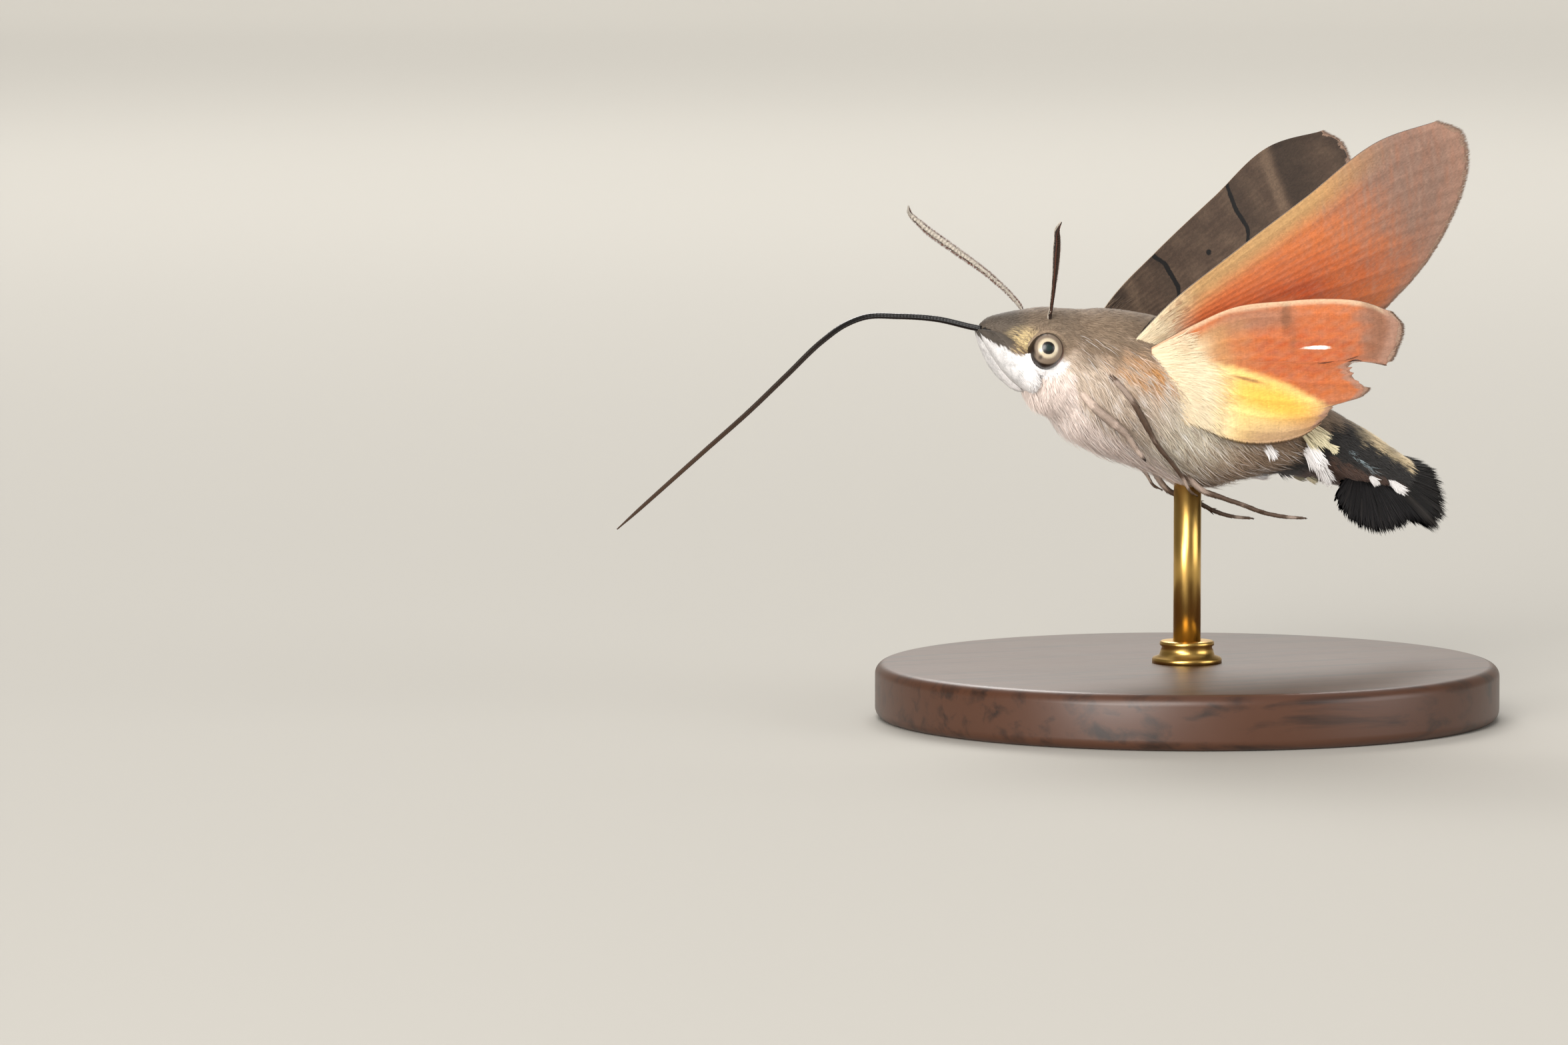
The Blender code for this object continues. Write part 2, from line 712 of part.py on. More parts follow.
def wing_shape(wing, side, thickness=WING_THICKNESS, torn=False, ridges=True):
    """Return a closed wing, both faces split into triangles alike."""
    shape = bmesh.new()
    faces = []
    for sign in (1, -1):
        rows = []
        for k in range(WING_STATIONS):
            v = k / (WING_STATIONS - 1)
            row = []
            for u, ridge in wing_lines(wing, v):
                edge = 0.75 if u in (0.0, 1.0) or v == 1.0 else 1.0
                rise = sign * (thickness / 2 * edge + (ridge if ridges else 0.0))
                point = wing_place(wing, u, v, rise, torn)
                row.append(shape.verts.new((point.x, -side * point.y, point.z)))
            rows.append(row)
        faces.append(rows)
        for low, high in zip(rows, rows[1:]):
            for i in range(len(low) - 1):
                shape.faces.new((low[i], low[i + 1], high[i + 1]))
                shape.faces.new((low[i], high[i + 1], high[i]))
    rim_up, rim_down = (
        rows[0] + [row[-1] for row in rows[1:-1]] + rows[-1][::-1] + [row[0] for row in rows[-2:0:-1]]
        for rows in faces
    )
    for i in range(len(rim_up)):
        j = (i + 1) % len(rim_up)
        shape.faces.new((rim_up[i], rim_up[j], rim_down[j]))
        shape.faces.new((rim_up[i], rim_down[j], rim_down[i]))
    return shape


def swept_back(wing, sweep, raised):
    """Return a wing turned about its hinge towards the tail, then raised over the back."""
    span, chord = Vector(wing["span"]), Vector(wing["chord"])
    turn = math.radians(sweep)
    lift = Matrix.Rotation(math.radians(-raised), 3, "X")
    turned = dict(wing)
    turned["span"] = tuple(lift @ (span * math.cos(turn) + chord * math.sin(turn)))
    turned["chord"] = tuple(lift @ (chord * math.cos(turn) - span * math.sin(turn)))
    return turned


def build_wings(group, cutters, body_cutter):
    """Make the four wings; each hindwing is also cut clear of its forewing."""
    wings = []
    for word, side in (("left", -1), ("right", 1)):
        plan = FOREWING if side < 0 else swept_back(FOREWING, RIGHT_SWEEP, RIGHT_RAISE)
        forewing = add_object("forewing_" + word, wing_shape(plan, side), group)
        cut_clear(forewing, [body_cutter])
        thick = WING_THICKNESS + 2 * (GAP + VEIN_HEIGHT)
        clear = add_object("forewing_cutter", wing_shape(plan, side, thick, ridges=False), cutters)
        hide_cutter(clear)
        torn = side < 0
        hindwing = add_object("hindwing_" + word, wing_shape(HINDWING, side, torn=torn), group)
        cut_clear(hindwing, [body_cutter, clear])
        wings += [forewing, hindwing]
    return wings


def build_leg(name, leg, side, group, body_cutter):
    """Make one leg that leaves the coat and lies along or trails under it."""
    route = [body_point(along, angle, lift, side) for along, angle, lift in leg["on_body"]]
    route += [(along, -side * across, up) for along, across, up in leg["free"]]
    piece = add_object(name, tube(route, 18, leg["girth"]), group)
    cut_clear(piece, [body_cutter])
    return piece


def build_legs(group, body_cutter):
    """Make the six legs."""
    legs = []
    for word, side in (("left", -1), ("right", 1)):
        hindleg = HINDLEG_LEFT if side < 0 else HINDLEG_RIGHT
        for kind, leg in (("foreleg_", FORELEG), ("midleg_", MIDLEG), ("hindleg_", hindleg)):
            legs.append(build_leg(kind + word, leg, side, group, body_cutter))
    return legs


def build_stand(group, body_cutter):
    """Make the round base, its collar and the rod up to the belly."""
    shape = bmesh.new()
    bmesh.ops.create_cone(
        shape, cap_ends=True, segments=BASE_SIDES, radius1=BASE_RADIUS, radius2=BASE_RADIUS,
        depth=BASE_HEIGHT,
    )
    bmesh.ops.translate(shape, vec=(0, 0, BASE_HEIGHT / 2), verts=shape.verts[:])
    base = add_object("stand_base", shape, group)
    edge = base.modifiers.new("edge", "BEVEL")
    edge.width = BASE_EDGE * MM
    edge.segments = 2
    edge.angle_limit = math.radians(60)
    collar_foot = BASE_HEIGHT + GAP
    shape = bmesh.new()
    bmesh.ops.create_cone(
        shape, cap_ends=True, segments=24, radius1=COLLAR_RADIUS, radius2=COLLAR_RADIUS * 0.8,
        depth=COLLAR_HEIGHT,
    )
    bmesh.ops.translate(shape, vec=(0, 0, collar_foot + COLLAR_HEIGHT / 2), verts=shape.verts[:])
    collar = add_object("stand_collar", shape, group)
    foot = collar_foot + COLLAR_HEIGHT + GAP
    top = BODY_CENTRE[2]
    shape = bmesh.new()
    bmesh.ops.create_cone(
        shape, cap_ends=True, segments=16, radius1=ROD_RADIUS, radius2=ROD_RADIUS, depth=top - foot
    )
    bmesh.ops.translate(shape, vec=(0, 0, (top + foot) / 2), verts=shape.verts[:])
    rod = add_object("stand_rod", shape, group)
    cut_clear(rod, [body_cutter])
    return base, collar, rod


def main():
    """Clear the scene and build the moth and its stand."""
    for item in list(bpy.data.objects):
        bpy.data.objects.remove(item)
    random.seed(7)
    parts = new_collection("hummingbird_hawk_moth")
    cutters = new_collection("cutters")

    moth = bpy.data.objects.new("moth", None)
    moth.location = Vector(BODY_CENTRE) * MM
    moth.rotation_euler = (0.0, math.radians(BODY_PITCH), 0.0)
    parts.objects.link(moth)
    bpy.context.view_layer.update()

    fur = make_material("grey brown coat", (0.16, 0.135, 0.11), 0.85)
    white = make_material("white scales", (0.80, 0.74, 0.75), 0.8)
    eye = make_material("grey eye", (0.42, 0.37, 0.31), 0.15)
    dark = make_material("dark horn", (0.03, 0.022, 0.018), 0.35)
    feeler = make_material("brown feeler", (0.12, 0.08, 0.06), 0.6)
    hind_coat = make_material("dark hind coat", (0.10, 0.075, 0.055), 0.85)
    black = make_material("black brush", (0.015, 0.014, 0.014), 0.8)
    fore = make_material("grey orange wing", (0.50, 0.22, 0.10), 0.7)
    hind = make_material("golden wing", (0.72, 0.33, 0.10), 0.7)
    leg_coat = make_material("cream brown leg", (0.26, 0.18, 0.13), 0.75)
    wood = make_material("stained wood", (0.07, 0.035, 0.018), 0.35)
    brass = make_material("satin brass", (0.60, 0.42, 0.17), 0.3, 1.0)

    body_cutter, eye_cutters = build_cutters(cutters)
    finish(build_head(parts, eye_cutters), fur, moth)
    for palp in build_palps(parts, body_cutter, eye_cutters):
        finish(palp, white, moth)
    for item in build_eyes(parts):
        finish(item, eye, moth)
    for item in build_tongue(parts, body_cutter):
        finish(item, dark, moth)
    for item in build_antennae(parts, body_cutter):
        finish(item, feeler, moth)
    finish(build_thorax(parts), fur, moth)
    finish(build_abdomen(parts), hind_coat, moth)
    finish(build_tail(parts), black, moth)
    for item in build_wings(parts, cutters, body_cutter):
        finish(item, fore if item.name.startswith("fore") else hind, moth)
    for item in build_legs(parts, body_cutter):
        finish(item, leg_coat, moth)

    for cutter in cutters.objects:
        cutter.parent = moth
    bpy.context.view_layer.update()
    base, collar, rod = build_stand(parts, body_cutter)
    finish(base, wood)
    finish(collar, brass)
    finish(rod, brass)


main()
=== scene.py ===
"""The looks of a life-size hummingbird hawk moth model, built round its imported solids.

Lengths in the tables are millimetres in the moth's own frame: "along" runs from head to
tail, "across" is negative on the moth's left side and "up" is away from the belly.
Angles round the body are degrees: 0 is the left flank, 90 the back, 180 the right
flank and 270 the belly. Folded angles run from -90, the belly, to 90, the back.
"""
import math

import bpy
import numpy as np
from bpy.props import FloatProperty, FloatVectorProperty, IntProperty, PointerProperty
from mathutils import Matrix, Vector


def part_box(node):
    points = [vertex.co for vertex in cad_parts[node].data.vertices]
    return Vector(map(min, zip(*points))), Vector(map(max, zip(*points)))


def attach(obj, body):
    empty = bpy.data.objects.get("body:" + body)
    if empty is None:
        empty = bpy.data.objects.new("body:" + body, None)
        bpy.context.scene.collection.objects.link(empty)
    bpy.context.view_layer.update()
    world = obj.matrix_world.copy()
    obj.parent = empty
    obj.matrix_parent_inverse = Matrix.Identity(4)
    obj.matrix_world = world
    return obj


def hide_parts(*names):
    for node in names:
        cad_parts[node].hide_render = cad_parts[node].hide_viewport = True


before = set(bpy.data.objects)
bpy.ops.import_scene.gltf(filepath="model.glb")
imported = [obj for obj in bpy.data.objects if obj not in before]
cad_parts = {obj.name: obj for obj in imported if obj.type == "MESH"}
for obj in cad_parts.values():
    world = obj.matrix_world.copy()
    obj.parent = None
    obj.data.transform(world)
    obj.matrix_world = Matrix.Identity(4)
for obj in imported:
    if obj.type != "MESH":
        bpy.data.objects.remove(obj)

bl_info = {
    "name": "Hummingbird hawk moth model",
    "version": (1, 0, 0),
    "blender": (4, 5, 0),
    "location": "3D View > Sidebar > Hawk moth",
    "description": "Dresses the packed hawk moth with skin, coat, scaled wings and stand",
    "category": "Object",
}

MM = 0.001
# The moth's own frame: nose-up pitch, and its middle in millimetres above the stand's underside
PITCH = math.radians(17.0)
CENTRE = np.array((-5.0, 0.0, 18.7))
AHEAD = np.array((math.cos(PITCH), 0.0, -math.sin(PITCH)))
SIDEWAYS = np.array((0.0, 1.0, 0.0))
OVER = np.array((math.sin(PITCH), 0.0, math.cos(PITCH)))
SIDES = (("left", -1), ("right", 1))

# Body with its coat: along, top, bottom, half width
BODY_STATIONS = ((-8.1, 0.95, 0.45, 0.35), (-7.7, 1.35, 0.30, 0.75), (-6.8, 1.85, -0.10, 1.35),
                 (-5.8, 2.30, -0.75, 1.90), (-4.8, 2.70, -1.50, 2.25), (-3.8, 2.92, -2.60, 2.60),
                 (-2.6, 3.20, -3.05, 3.05), (-1.5, 3.55, -3.60, 3.40), (0.3, 3.90, -4.00, 3.70),
                 (2.0, 4.05, -4.15, 3.75), (3.9, 4.05, -4.25, 3.70), (5.4, 3.95, -4.38, 3.70),
                 (6.8, 3.70, -4.20, 3.80), (8.3, 3.35, -3.60, 3.85), (9.8, 3.00, -2.95, 3.80),
                 (11.4, 2.50, -2.35, 3.70), (13.6, 2.00, -2.05, 3.30), (16.0, 1.50, -1.90, 2.60),
                 (18.6, 0.87, -1.80, 1.70))
SNOUT, BODY_END = BODY_STATIONS[0][0], BODY_STATIONS[-1][0]
# Coat: along, lock length on the back, flank and belly, lock width, rise off the skin and
# droop towards the belly in degrees
COAT_STATIONS = ((-8.1, 0.20, 0.20, 0.22, 0.040, 20.0, 0.0), (-7.0, 0.30, 0.28, 0.32, 0.042, 20.0, 4.0),
                 (-5.5, 0.40, 0.34, 0.60, 0.045, 20.0, 8.0), (-4.2, 0.46, 0.55, 0.95, 0.048, 20.0, 22.0),
                 (-2.6, 0.50, 0.95, 1.35, 0.052, 19.0, 34.0), (-0.5, 0.55, 1.25, 1.50, 0.055, 18.0, 34.0),
                 (2.0, 0.65, 1.55, 1.55, 0.058, 18.0, 30.0), (4.5, 0.80, 1.80, 1.55, 0.062, 18.0, 24.0),
                 (8.0, 0.95, 1.60, 1.20, 0.066, 18.0, 17.0), (11.5, 1.15, 1.10, 0.90, 0.070, 19.0, 10.0),
                 (14.0, 1.20, 1.00, 0.90, 0.070, 20.0, 6.0), (18.6, 1.10, 1.10, 1.00, 0.070, 18.0, 4.0))
# Share of the locks' length by which the skin lies inside the coat
COAT_SHARE = 0.27
# Folded angle at which the dark back gives way to the paler flank, along the body
BACK_EDGE = ((-8.1, -90.0), (-6.2, -72.0), (-5.4, -34.0), (-4.6, -12.0), (-3.8, 6.0), (-2.6, 14.0),
             (-1.0, 22.0), (0.5, 30.0), (2.0, 40.0), (4.0, 46.0), (6.0, 34.0), (9.0, 15.0), (12.0, 10.0),
             (18.6, 10.0))
# Folded angle at which the flank gives way to the white breast
BREAST_EDGE = ((-8.1, -90.0), (-6.0, -76.0), (-5.4, -44.0), (-4.6, -36.0), (-4.0, -12.0), (-3.5, -12.0),
               (-3.0, -30.0), (-1.5, -42.0), (0.0, -48.0), (2.0, -57.0), (4.0, -70.0), (6.0, -88.0),
               (9.0, -100.0))

# Right eye
EYE_CENTRE, EYE_RADIUS = np.array((-4.85, 1.72, 0.30)), 1.0

# Palps: along, top, bottom, half width, as the scales lie
PALP_STATIONS = ((-8.30, 0.55, 0.30, 0.18), (-8.0, 0.65, 0.00, 0.38), (-7.4, 0.70, -0.60, 0.62),
                 (-6.4, 0.50, -1.42, 0.85), (-5.5, 0.00, -1.88, 0.95), (-4.95, -0.60, -2.02, 0.80),
                 (-4.5, -1.10, -1.85, 0.45))
# How far the palps reach past the middle, and how deep their scales are
PALP_OVERLAP, PALP_COAT = 0.22, 0.12
# Folded angle round a palp above which its scales are dark like the snout
PALP_DARK = ((-8.3, -95.0), (-8.1, -80.0), (-7.9, -50.0), (-7.65, -27.0), (-7.3, -13.0), (-7.0, -2.0),
             (-6.65, 4.0), (-6.35, 15.0), (-6.05, 29.0), (-5.6, 52.0), (-5.2, 75.0), (-4.5, 95.0))

# Tongue in the moth's middle plane: along, up; then its fine rings and its radius by share of its length
TONGUE_ROUTE = ((-7.6, 0.60), (-8.45, 0.50), (-10.8, 0.33), (-13.0, -0.13), (-15.0, -0.75), (-16.0, -1.48),
                (-16.9, -2.52), (-18.45, -4.90), (-20.0, -7.30), (-21.9, -10.0), (-25.6, -15.3))
TONGUE_RINGS = 130
TONGUE_GIRTH = ((0.0, 0.17), (0.3, 0.155), (0.75, 0.125), (0.93, 0.10), (1.0, 0.035))

# Left antenna: along, across, up; then its joints and its radius by share of its length
ANTENNA_ROUTE = ((-4.75, -1.05, 1.70), (-5.30, -1.95, 2.55), (-6.45, -3.80, 3.70), (-7.85, -6.10, 4.70),
                 (-9.20, -8.25, 5.65), (-9.70, -9.00, 6.15), (-9.72, -9.25, 6.50))
ANTENNA_JOINTS = 46
ANTENNA_GIRTH = ((0.0, 0.15), (0.12, 0.10), (0.4, 0.13), (0.75, 0.19), (0.93, 0.15), (1.0, 0.03))

# Wings: hinge, the two directions of the plane, outlines as (span, chord) and veins as
# places across the wing at the root, at the fork and at the margin
FOREWING = {
    "hinge": (0.34, -2.90, 2.72),
    "span": (0.6015, -0.3111, 0.7358),
    "chord": (0.7988, 0.2296, -0.5560),
    "costa": ((-0.8, -0.2), (1.6, -0.9), (5.9, -1.5), (11.0, -2.0), (16.0, -2.4), (19.4, -1.3)),
    "margin": ((19.4, -1.3), (20.25, 0.0), (20.0, 1.3), (19.0, 2.8), (17.6, 4.05), (14.7, 5.95),
               (11.8, 7.1)),
    "inner": ((-0.6, 1.9), (2.5, 3.0), (6.0, 4.6), (9.0, 6.2), (11.8, 7.1)),
    "camber": 0.45,
    "tip_bend": 0.7,
    "veins": ((0.07, 0.05, 0.03), (0.22, 0.16, 0.12), (0.28, 0.24, 0.20), (0.34, 0.29, 0.27),
              (0.40, 0.36, 0.35), (0.45, 0.42, 0.42), (0.51, 0.48, 0.49), (0.56, 0.54, 0.56),
              (0.68, 0.66, 0.70), (0.79, 0.78, 0.83), (0.92, 0.93, 0.95)),
    "fork": 0.5,
    "grid": (76, 150),
}
HINDWING = {
    "hinge": (1.25, -3.55, 2.45),
    "span": (0.8560, -0.3926, 0.3363),
    "chord": (0.4144, 0.1321, -0.9005),
    "costa": ((-0.9, 0.1), (1.5, -1.0), (3.6, -1.75), (6.5, -1.9), (8.6, -1.85), (10.7, -1.5),
              (12.2, -0.8)),
    "margin": ((12.2, -0.8), (12.75, 0.0), (12.35, 1.3), (11.7, 2.3), (10.9, 3.2), (9.7, 4.1),
               (8.35, 4.9)),
    "inner": ((-0.9, 3.3), (1.3, 4.5), (3.6, 5.6), (5.3, 5.8), (7.2, 5.5), (8.35, 4.9)),
    "camber": 0.35,
    "tip_bend": 0.3,
    "veins": ((0.10, 0.09, 0.10), (0.25, 0.23, 0.27), (0.38, 0.37, 0.41), (0.51, 0.51, 0.56),
              (0.64, 0.65, 0.70), (0.77, 0.78, 0.83), (0.90, 0.91, 0.93)),
    "fork": 0.45,
    "grid": (78, 96),
}
# Share of the outline that the membrane fills, and half width of a vein
WING_INSET, VEIN_SPREAD = 0.985, 0.055
# Lengths that turn the places along a wing into distances from its margin
FORE_LENGTH, HIND_LENGTH = 20.0, 12.5
# The left hindwing's torn bay: place along the margin and the share of the wing that is left
TORN_EDGE = ((0.0, 1.0), (0.36, 1.0), (0.388, 0.995), (0.398, 0.90), (0.408, 0.85), (0.438, 0.838),
             (0.49, 0.866), (0.535, 0.90), (0.585, 0.96), (0.615, 0.99), (0.66, 1.0), (0.705, 1.0),
             (0.725, 0.985), (0.735, 0.93), (0.745, 0.886), (0.80, 0.894), (0.883, 0.917), (1.0, 0.925))
# Fold between the orange and the yellow field of the hindwing's underside: span, chord
HIND_FOLD = ((-1.0, 0.4), (0.86, 0.81), (2.75, 1.25), (4.56, 1.87), (6.29, 2.63), (7.93, 3.65), (9.6, 4.9))
# Degrees by which the right forewing is turned back and raised against the left one
RIGHT_SWEEP, RIGHT_RAISE = 6.0, 5.0
# Dark cross lines on the forewing's upper side: chord, span
INNER_LINE = ((-2.0, 5.35), (-1.38, 5.55), (-0.5, 5.95), (0.7, 5.95), (1.6, 5.5), (2.6, 5.75), (3.6, 5.2),
              (4.6, 5.3))
OUTER_LINE = ((-2.6, 12.25), (-1.98, 12.1), (-0.65, 11.9), (0.4, 11.95), (1.6, 11.3), (2.8, 11.5),
              (4.2, 10.4), (5.4, 10.3), (7.0, 9.2))

# Legs: route on the breast as (along, angle round the body, stand-off), free points and girth
HIND_GIRTH = ((0.0, 0.20), (0.2, 0.22), (0.38, 0.20), (0.42, 0.16), (0.8, 0.14), (1.0, 0.07))
LEGS = {
    "fore": {
        "on_body": ((-3.2, -24, -1.0), (-2.4, -29, -0.30), (-1.6, -32, 0.14), (-0.5, -36, 0.24),
                    (0.6, -41, 0.30)),
        "free": ((1.5, -2.95, -3.50), (2.2, -2.80, -3.85)),
        "girth": ((0.0, 0.20), (0.25, 0.25), (0.5, 0.27), (0.72, 0.19), (0.9, 0.12), (1.0, 0.06)),
    },
    "mid": {
        "on_body": ((-2.6, 6, -1.0), (-1.9, 3, -0.40), (-1.1, -4, -0.06), (0.1, -15, 0.06),
                    (1.3, -28, 0.14), (2.6, -41, 0.24), (3.9, -50, 0.36), (5.0, -58, 0.50)),
        "free": ((5.7, -2.15, -4.70), (6.2, -2.05, -4.80)),
        "girth": ((0.0, 0.16), (0.3, 0.20), (0.48, 0.22), (0.52, 0.17), (0.8, 0.15), (1.0, 0.06)),
    },
    "hind_left": {
        "on_body": ((4.3, -66, -1.0), (5.3, -64, -0.2)),
        "free": ((6.5, -1.75, -4.40), (7.8, -1.85, -4.50), (9.1, -1.90, -4.55), (10.5, -1.90, -4.62),
                 (11.7, -1.85, -4.52), (13.2, -1.75, -4.23)),
        "girth": HIND_GIRTH,
    },
    "hind_right": {
        "on_body": ((4.0, -68, -1.0), (4.9, -66, -0.2)),
        "free": ((6.2, -1.50, -4.72), (7.9, -1.55, -4.85), (9.4, -1.60, -5.10), (10.3, -1.60, -5.12),
                 (11.8, -1.50, -4.88)),
        "girth": HIND_GIRTH,
    },
}

# Tail brush: the line of its roots and the line of its tips
BRUSH_ROOTS = ((15.3, -1.35, -1.15), (16.6, -1.30, -1.05), (17.7, -1.00, -0.80), (18.0, -0.20, -0.50),
               (17.8, 0.80, -0.20), (16.9, 1.50, 0.00))
BRUSH_TIPS = ((13.9, -2.95, -3.00), (14.9, -3.35, -3.90), (16.6, -3.55, -4.20), (18.6, -3.10, -3.55),
              (20.7, -2.20, -3.05), (22.4, -0.60, -2.70), (23.5, 1.20, -1.75), (24.0, 2.90, -0.35),
              (23.7, 4.10, 0.80), (22.4, 4.70, 1.10), (20.6, 4.80, 0.85))
# Share of its full reach that the brush has round its fan, with the notch between its lobes
BRUSH_REACH = ((0.0, 0.96), (0.10, 1.0), (0.26, 0.99), (0.33, 0.86), (0.38, 0.90), (0.44, 0.99), (0.50, 0.99),
               (0.55, 0.93), (0.62, 0.99), (0.85, 0.99), (1.0, 0.93))
# Tufts on both flanks: along, folded angle, length, spread, droop, colour
SIDE_TUFTS = ((8.7, -20.0, 0.95, 0.24, 0.9, "tuft_white"), (9.7, -72.0, 0.9, 0.24, 0.1, "tuft_white"),
              (11.3, -18.0, 1.5, 0.42, 0.70, "tuft_white"), (12.3, -32.0, 1.9, 0.20, 0.75, "tuft_white"),
              (10.5, 7.0, 1.6, 0.55, 0.42, "tuft_cream"), (12.2, -5.0, 0.8, 0.14, 0.25, "tuft_cream"),
              (13.2, -76.0, 0.7, 0.16, 0.2, "tuft_cream"), (16.2, -30.0, 0.8, 0.16, 0.45, "tuft_white"),
              (17.8, -24.0, 1.2, 0.26, 0.35, "tuft_white"))

# Photo camera: bearing and height of its place, aim, distance, lens and sensor
CAMERA_AZIMUTH, CAMERA_ELEVATION = math.radians(-25.0), math.radians(5.0)
CAMERA_AIM = np.array((-19.51, 10.12, 10.58))
CAMERA_DISTANCE, CAMERA_LENS, CAMERA_SENSOR = 475.15, 200.0, 36.0
# Stage in metres: flat floor's radius, radius of the bend up to the backdrop, and its top
FLOOR_REACH, FLOOR_BEND, BACKDROP_TOP = 1.6, 0.9, 2.6
# Soft lights: place, aim, size, power and colour
MOTH_AT = (-0.003, 0.0, 0.018)
LIGHTS = {
    "key": ((-0.50, -0.60, 0.42), MOTH_AT, 0.42, 5.8, (1.0, 0.97, 0.93)),
    "fill": ((0.62, -0.62, 0.16), MOTH_AT, 0.60, 4.0, (1.0, 0.99, 0.98)),
    "low_fill": ((-0.60, -0.42, 0.04), MOTH_AT, 0.35, 6.2, (1.0, 0.985, 0.96)),
    "rim": ((0.20, 0.60, 0.60), MOTH_AT, 0.45, 3.5, (1.0, 0.98, 0.95)),
    "backdrop_wash": ((0.60, 1.30, 1.10), (0.75, 1.60, 0.0), 1.0, 15.0, (1.0, 0.98, 0.95)),
}


def linear(code):
    """Return a hex colour code as linear red, green and blue."""
    parts = [int(code[i:i + 2], 16) / 255 for i in (0, 2, 4)]
    return tuple(c / 12.92 if c <= 0.04045 else ((c + 0.055) / 1.055) ** 2.4 for c in parts)


def colour_field(label, code, about):
    """Return a colour property whose default is a hex code."""
    return FloatVectorProperty(name=label, description=about, default=linear(code), subtype="COLOR", size=3,
                               min=0.0, max=1.0)


def length_field(label, millimetres, about):
    """Return a length property whose default is given in millimetres."""
    return FloatProperty(name=label, description=about, default=millimetres * MM, unit="LENGTH", min=0.0)


class CoatLook(bpy.types.PropertyGroup):
    """Colours and closeness of the body's coat."""

    head_spacing: length_field("Head spacing", 0.062, "Distance between locks on head and palps")
    body_spacing: length_field("Body spacing", 0.073, "Distance between locks on thorax and abdomen")
    back: colour_field("Back", "7d6955", "Grey-brown of the head and back")
    back_fleck: colour_field("Back fleck", "a08b74", "Pale flecks on the back")
    snout: colour_field("Snout", "534a41", "Charcoal front of the head")
    cheek: colour_field("Cheek", "e0c792", "Golden scales in front of the eye")
    # also the colour of the painted shadow just below each eye's white crescent
    flank_front_and_shadow: colour_field("Front flank", "cbb8a6", "Beige side of the thorax")
    flank_rear: colour_field("Rear flank", "ddd3bf", "Cream grey side behind the legs")
    flank_streak: colour_field("Flank streak", "7f6650", "Brown streaks in the flank")
    breast: colour_field("Breast", "f2e0d7", "White of breast and palps")
    gold: colour_field("Gold", "c88c4a", "Orange-gold hairs under the wing base")
    belly: colour_field("Belly", "866b52", "Fawn of the hind belly")
    hind: colour_field("Hind body", "120e0d", "Brown-black sides of the hind body")
    hind_underside: colour_field("Hind underside", "664839", "Purple-brown hind underside")
    hind_glint: colour_field("Hind glint", "9fb2ba", "Blue-grey line along the hind body")
    hind_strip: colour_field("Hind strip", "f4dcb0", "Tan strip on top of the hind body")
    tuft_white: colour_field("White tuft", "fbf8f8", "White side tufts")
    tuft_cream: colour_field("Cream tuft", "eadfba", "Yellowish side tufts")
    brush: colour_field("Brush", "0d0c0e", "Black tail brush")
    brush_tip: colour_field("Brush tip", "2b2725", "Paler ends of the brush's scales")
    wing_hair: colour_field("Wing-base hair", "efdcba", "Cream hairs at the wing bases")


class WingLook(bpy.types.PropertyGroup):
    """Colours of the wings and rows of their fringe."""

    under_orange: colour_field("Under orange", "bb6838", "Orange field of the underside")
    under_deep: colour_field("Under deep", "a8481f", "Deepest orange of the underside")
    under_costa: colour_field("Under costa", "b08a5c", "Tan front edge of the underside")
    under_base: colour_field("Under base", "ead9b8", "Cream base of the underside")
    under_tip: colour_field("Under tip", "80685c", "Grey-mauve tip of the underside")
    under_margin: colour_field("Under margin", "9c7866", "Pinkish edge of the underside")
    slash: colour_field("Slash", "fff4e8", "Pale slash on the hindwing's underside")
    golden: colour_field("Golden field", "f2b44c", "Golden field of the hindwing's underside")
    straw: colour_field("Straw field", "eccb84", "Pale yellow round the golden field")
    mauve: colour_field("Mauve patch", "8f6a56", "Grey-mauve patch under the hindwing's front edge")
    mark: colour_field("Mark", "7c5038", "Brown marks on the hindwing")
    corner: colour_field("Corner", "8d6450", "Grey-brown outer corner of the hindwing")
    upper_grey: colour_field("Upper grey", "49392e", "Grey-brown of the forewing's upper side")
    upper_pale: colour_field("Upper pale", "685545", "Pale streaks on the upper side")
    upper_dark: colour_field("Upper dark", "2c221b", "Dark bands on the upper side")
    upper_line: colour_field("Upper line", "0b0909", "Black cross lines on the upper side")
    upper_orange: colour_field("Upper orange", "c97a35", "Orange of the hindwing's upper side")
    fringe: colour_field("Fringe", "947b69", "Hair fringe along the edges")
    fringe_rows: IntProperty(name="Fringe rows", description="Rows of fringe hairs", default=3, min=1)


class SmallPartLook(bpy.types.PropertyGroup):
    """Colours of eyes, tongue, feelers and legs."""

    pupil: colour_field("Pupil", "1a2c2a", "Teal-black pupil of the eye")
    pupil_ring: colour_field("Pupil ring", "0e0b0a", "Dark ring round the pupil")
    bristle: colour_field("Bristle", "2a2220", "Dark bristles behind the eye")
    eye_ring: colour_field("Eye ring", "cdbfa4", "Cream ring of the eye")
    eye_field: colour_field("Eye field", "857464", "Tan-grey of the eye")
    eye_rim: colour_field("Eye rim", "22160f", "Dark brown rim of the eye")
    eye_rear: colour_field("Eye rear", "8c5548", "Reddish rear rim of the eye")
    horn: colour_field("Horn", "0d0b0b", "Black of the tongue")
    horn_tip: colour_field("Horn tip", "3a2a1f", "Brown of the tongue's far end")
    feeler: colour_field("Feeler", "2b1e19", "Dark shaft of the antenna")
    feeler_scale: colour_field("Feeler scale", "bfb5a8", "Pale scales on the antenna")
    feeler_hair: colour_field("Feeler hair", "7d4c3a", "Red-brown hairs of the antenna")
    leg: colour_field("Leg", "5a4638", "Brown leg scales")
    leg_pale: colour_field("Leg pale", "cbb6a8", "Cream leg scales")


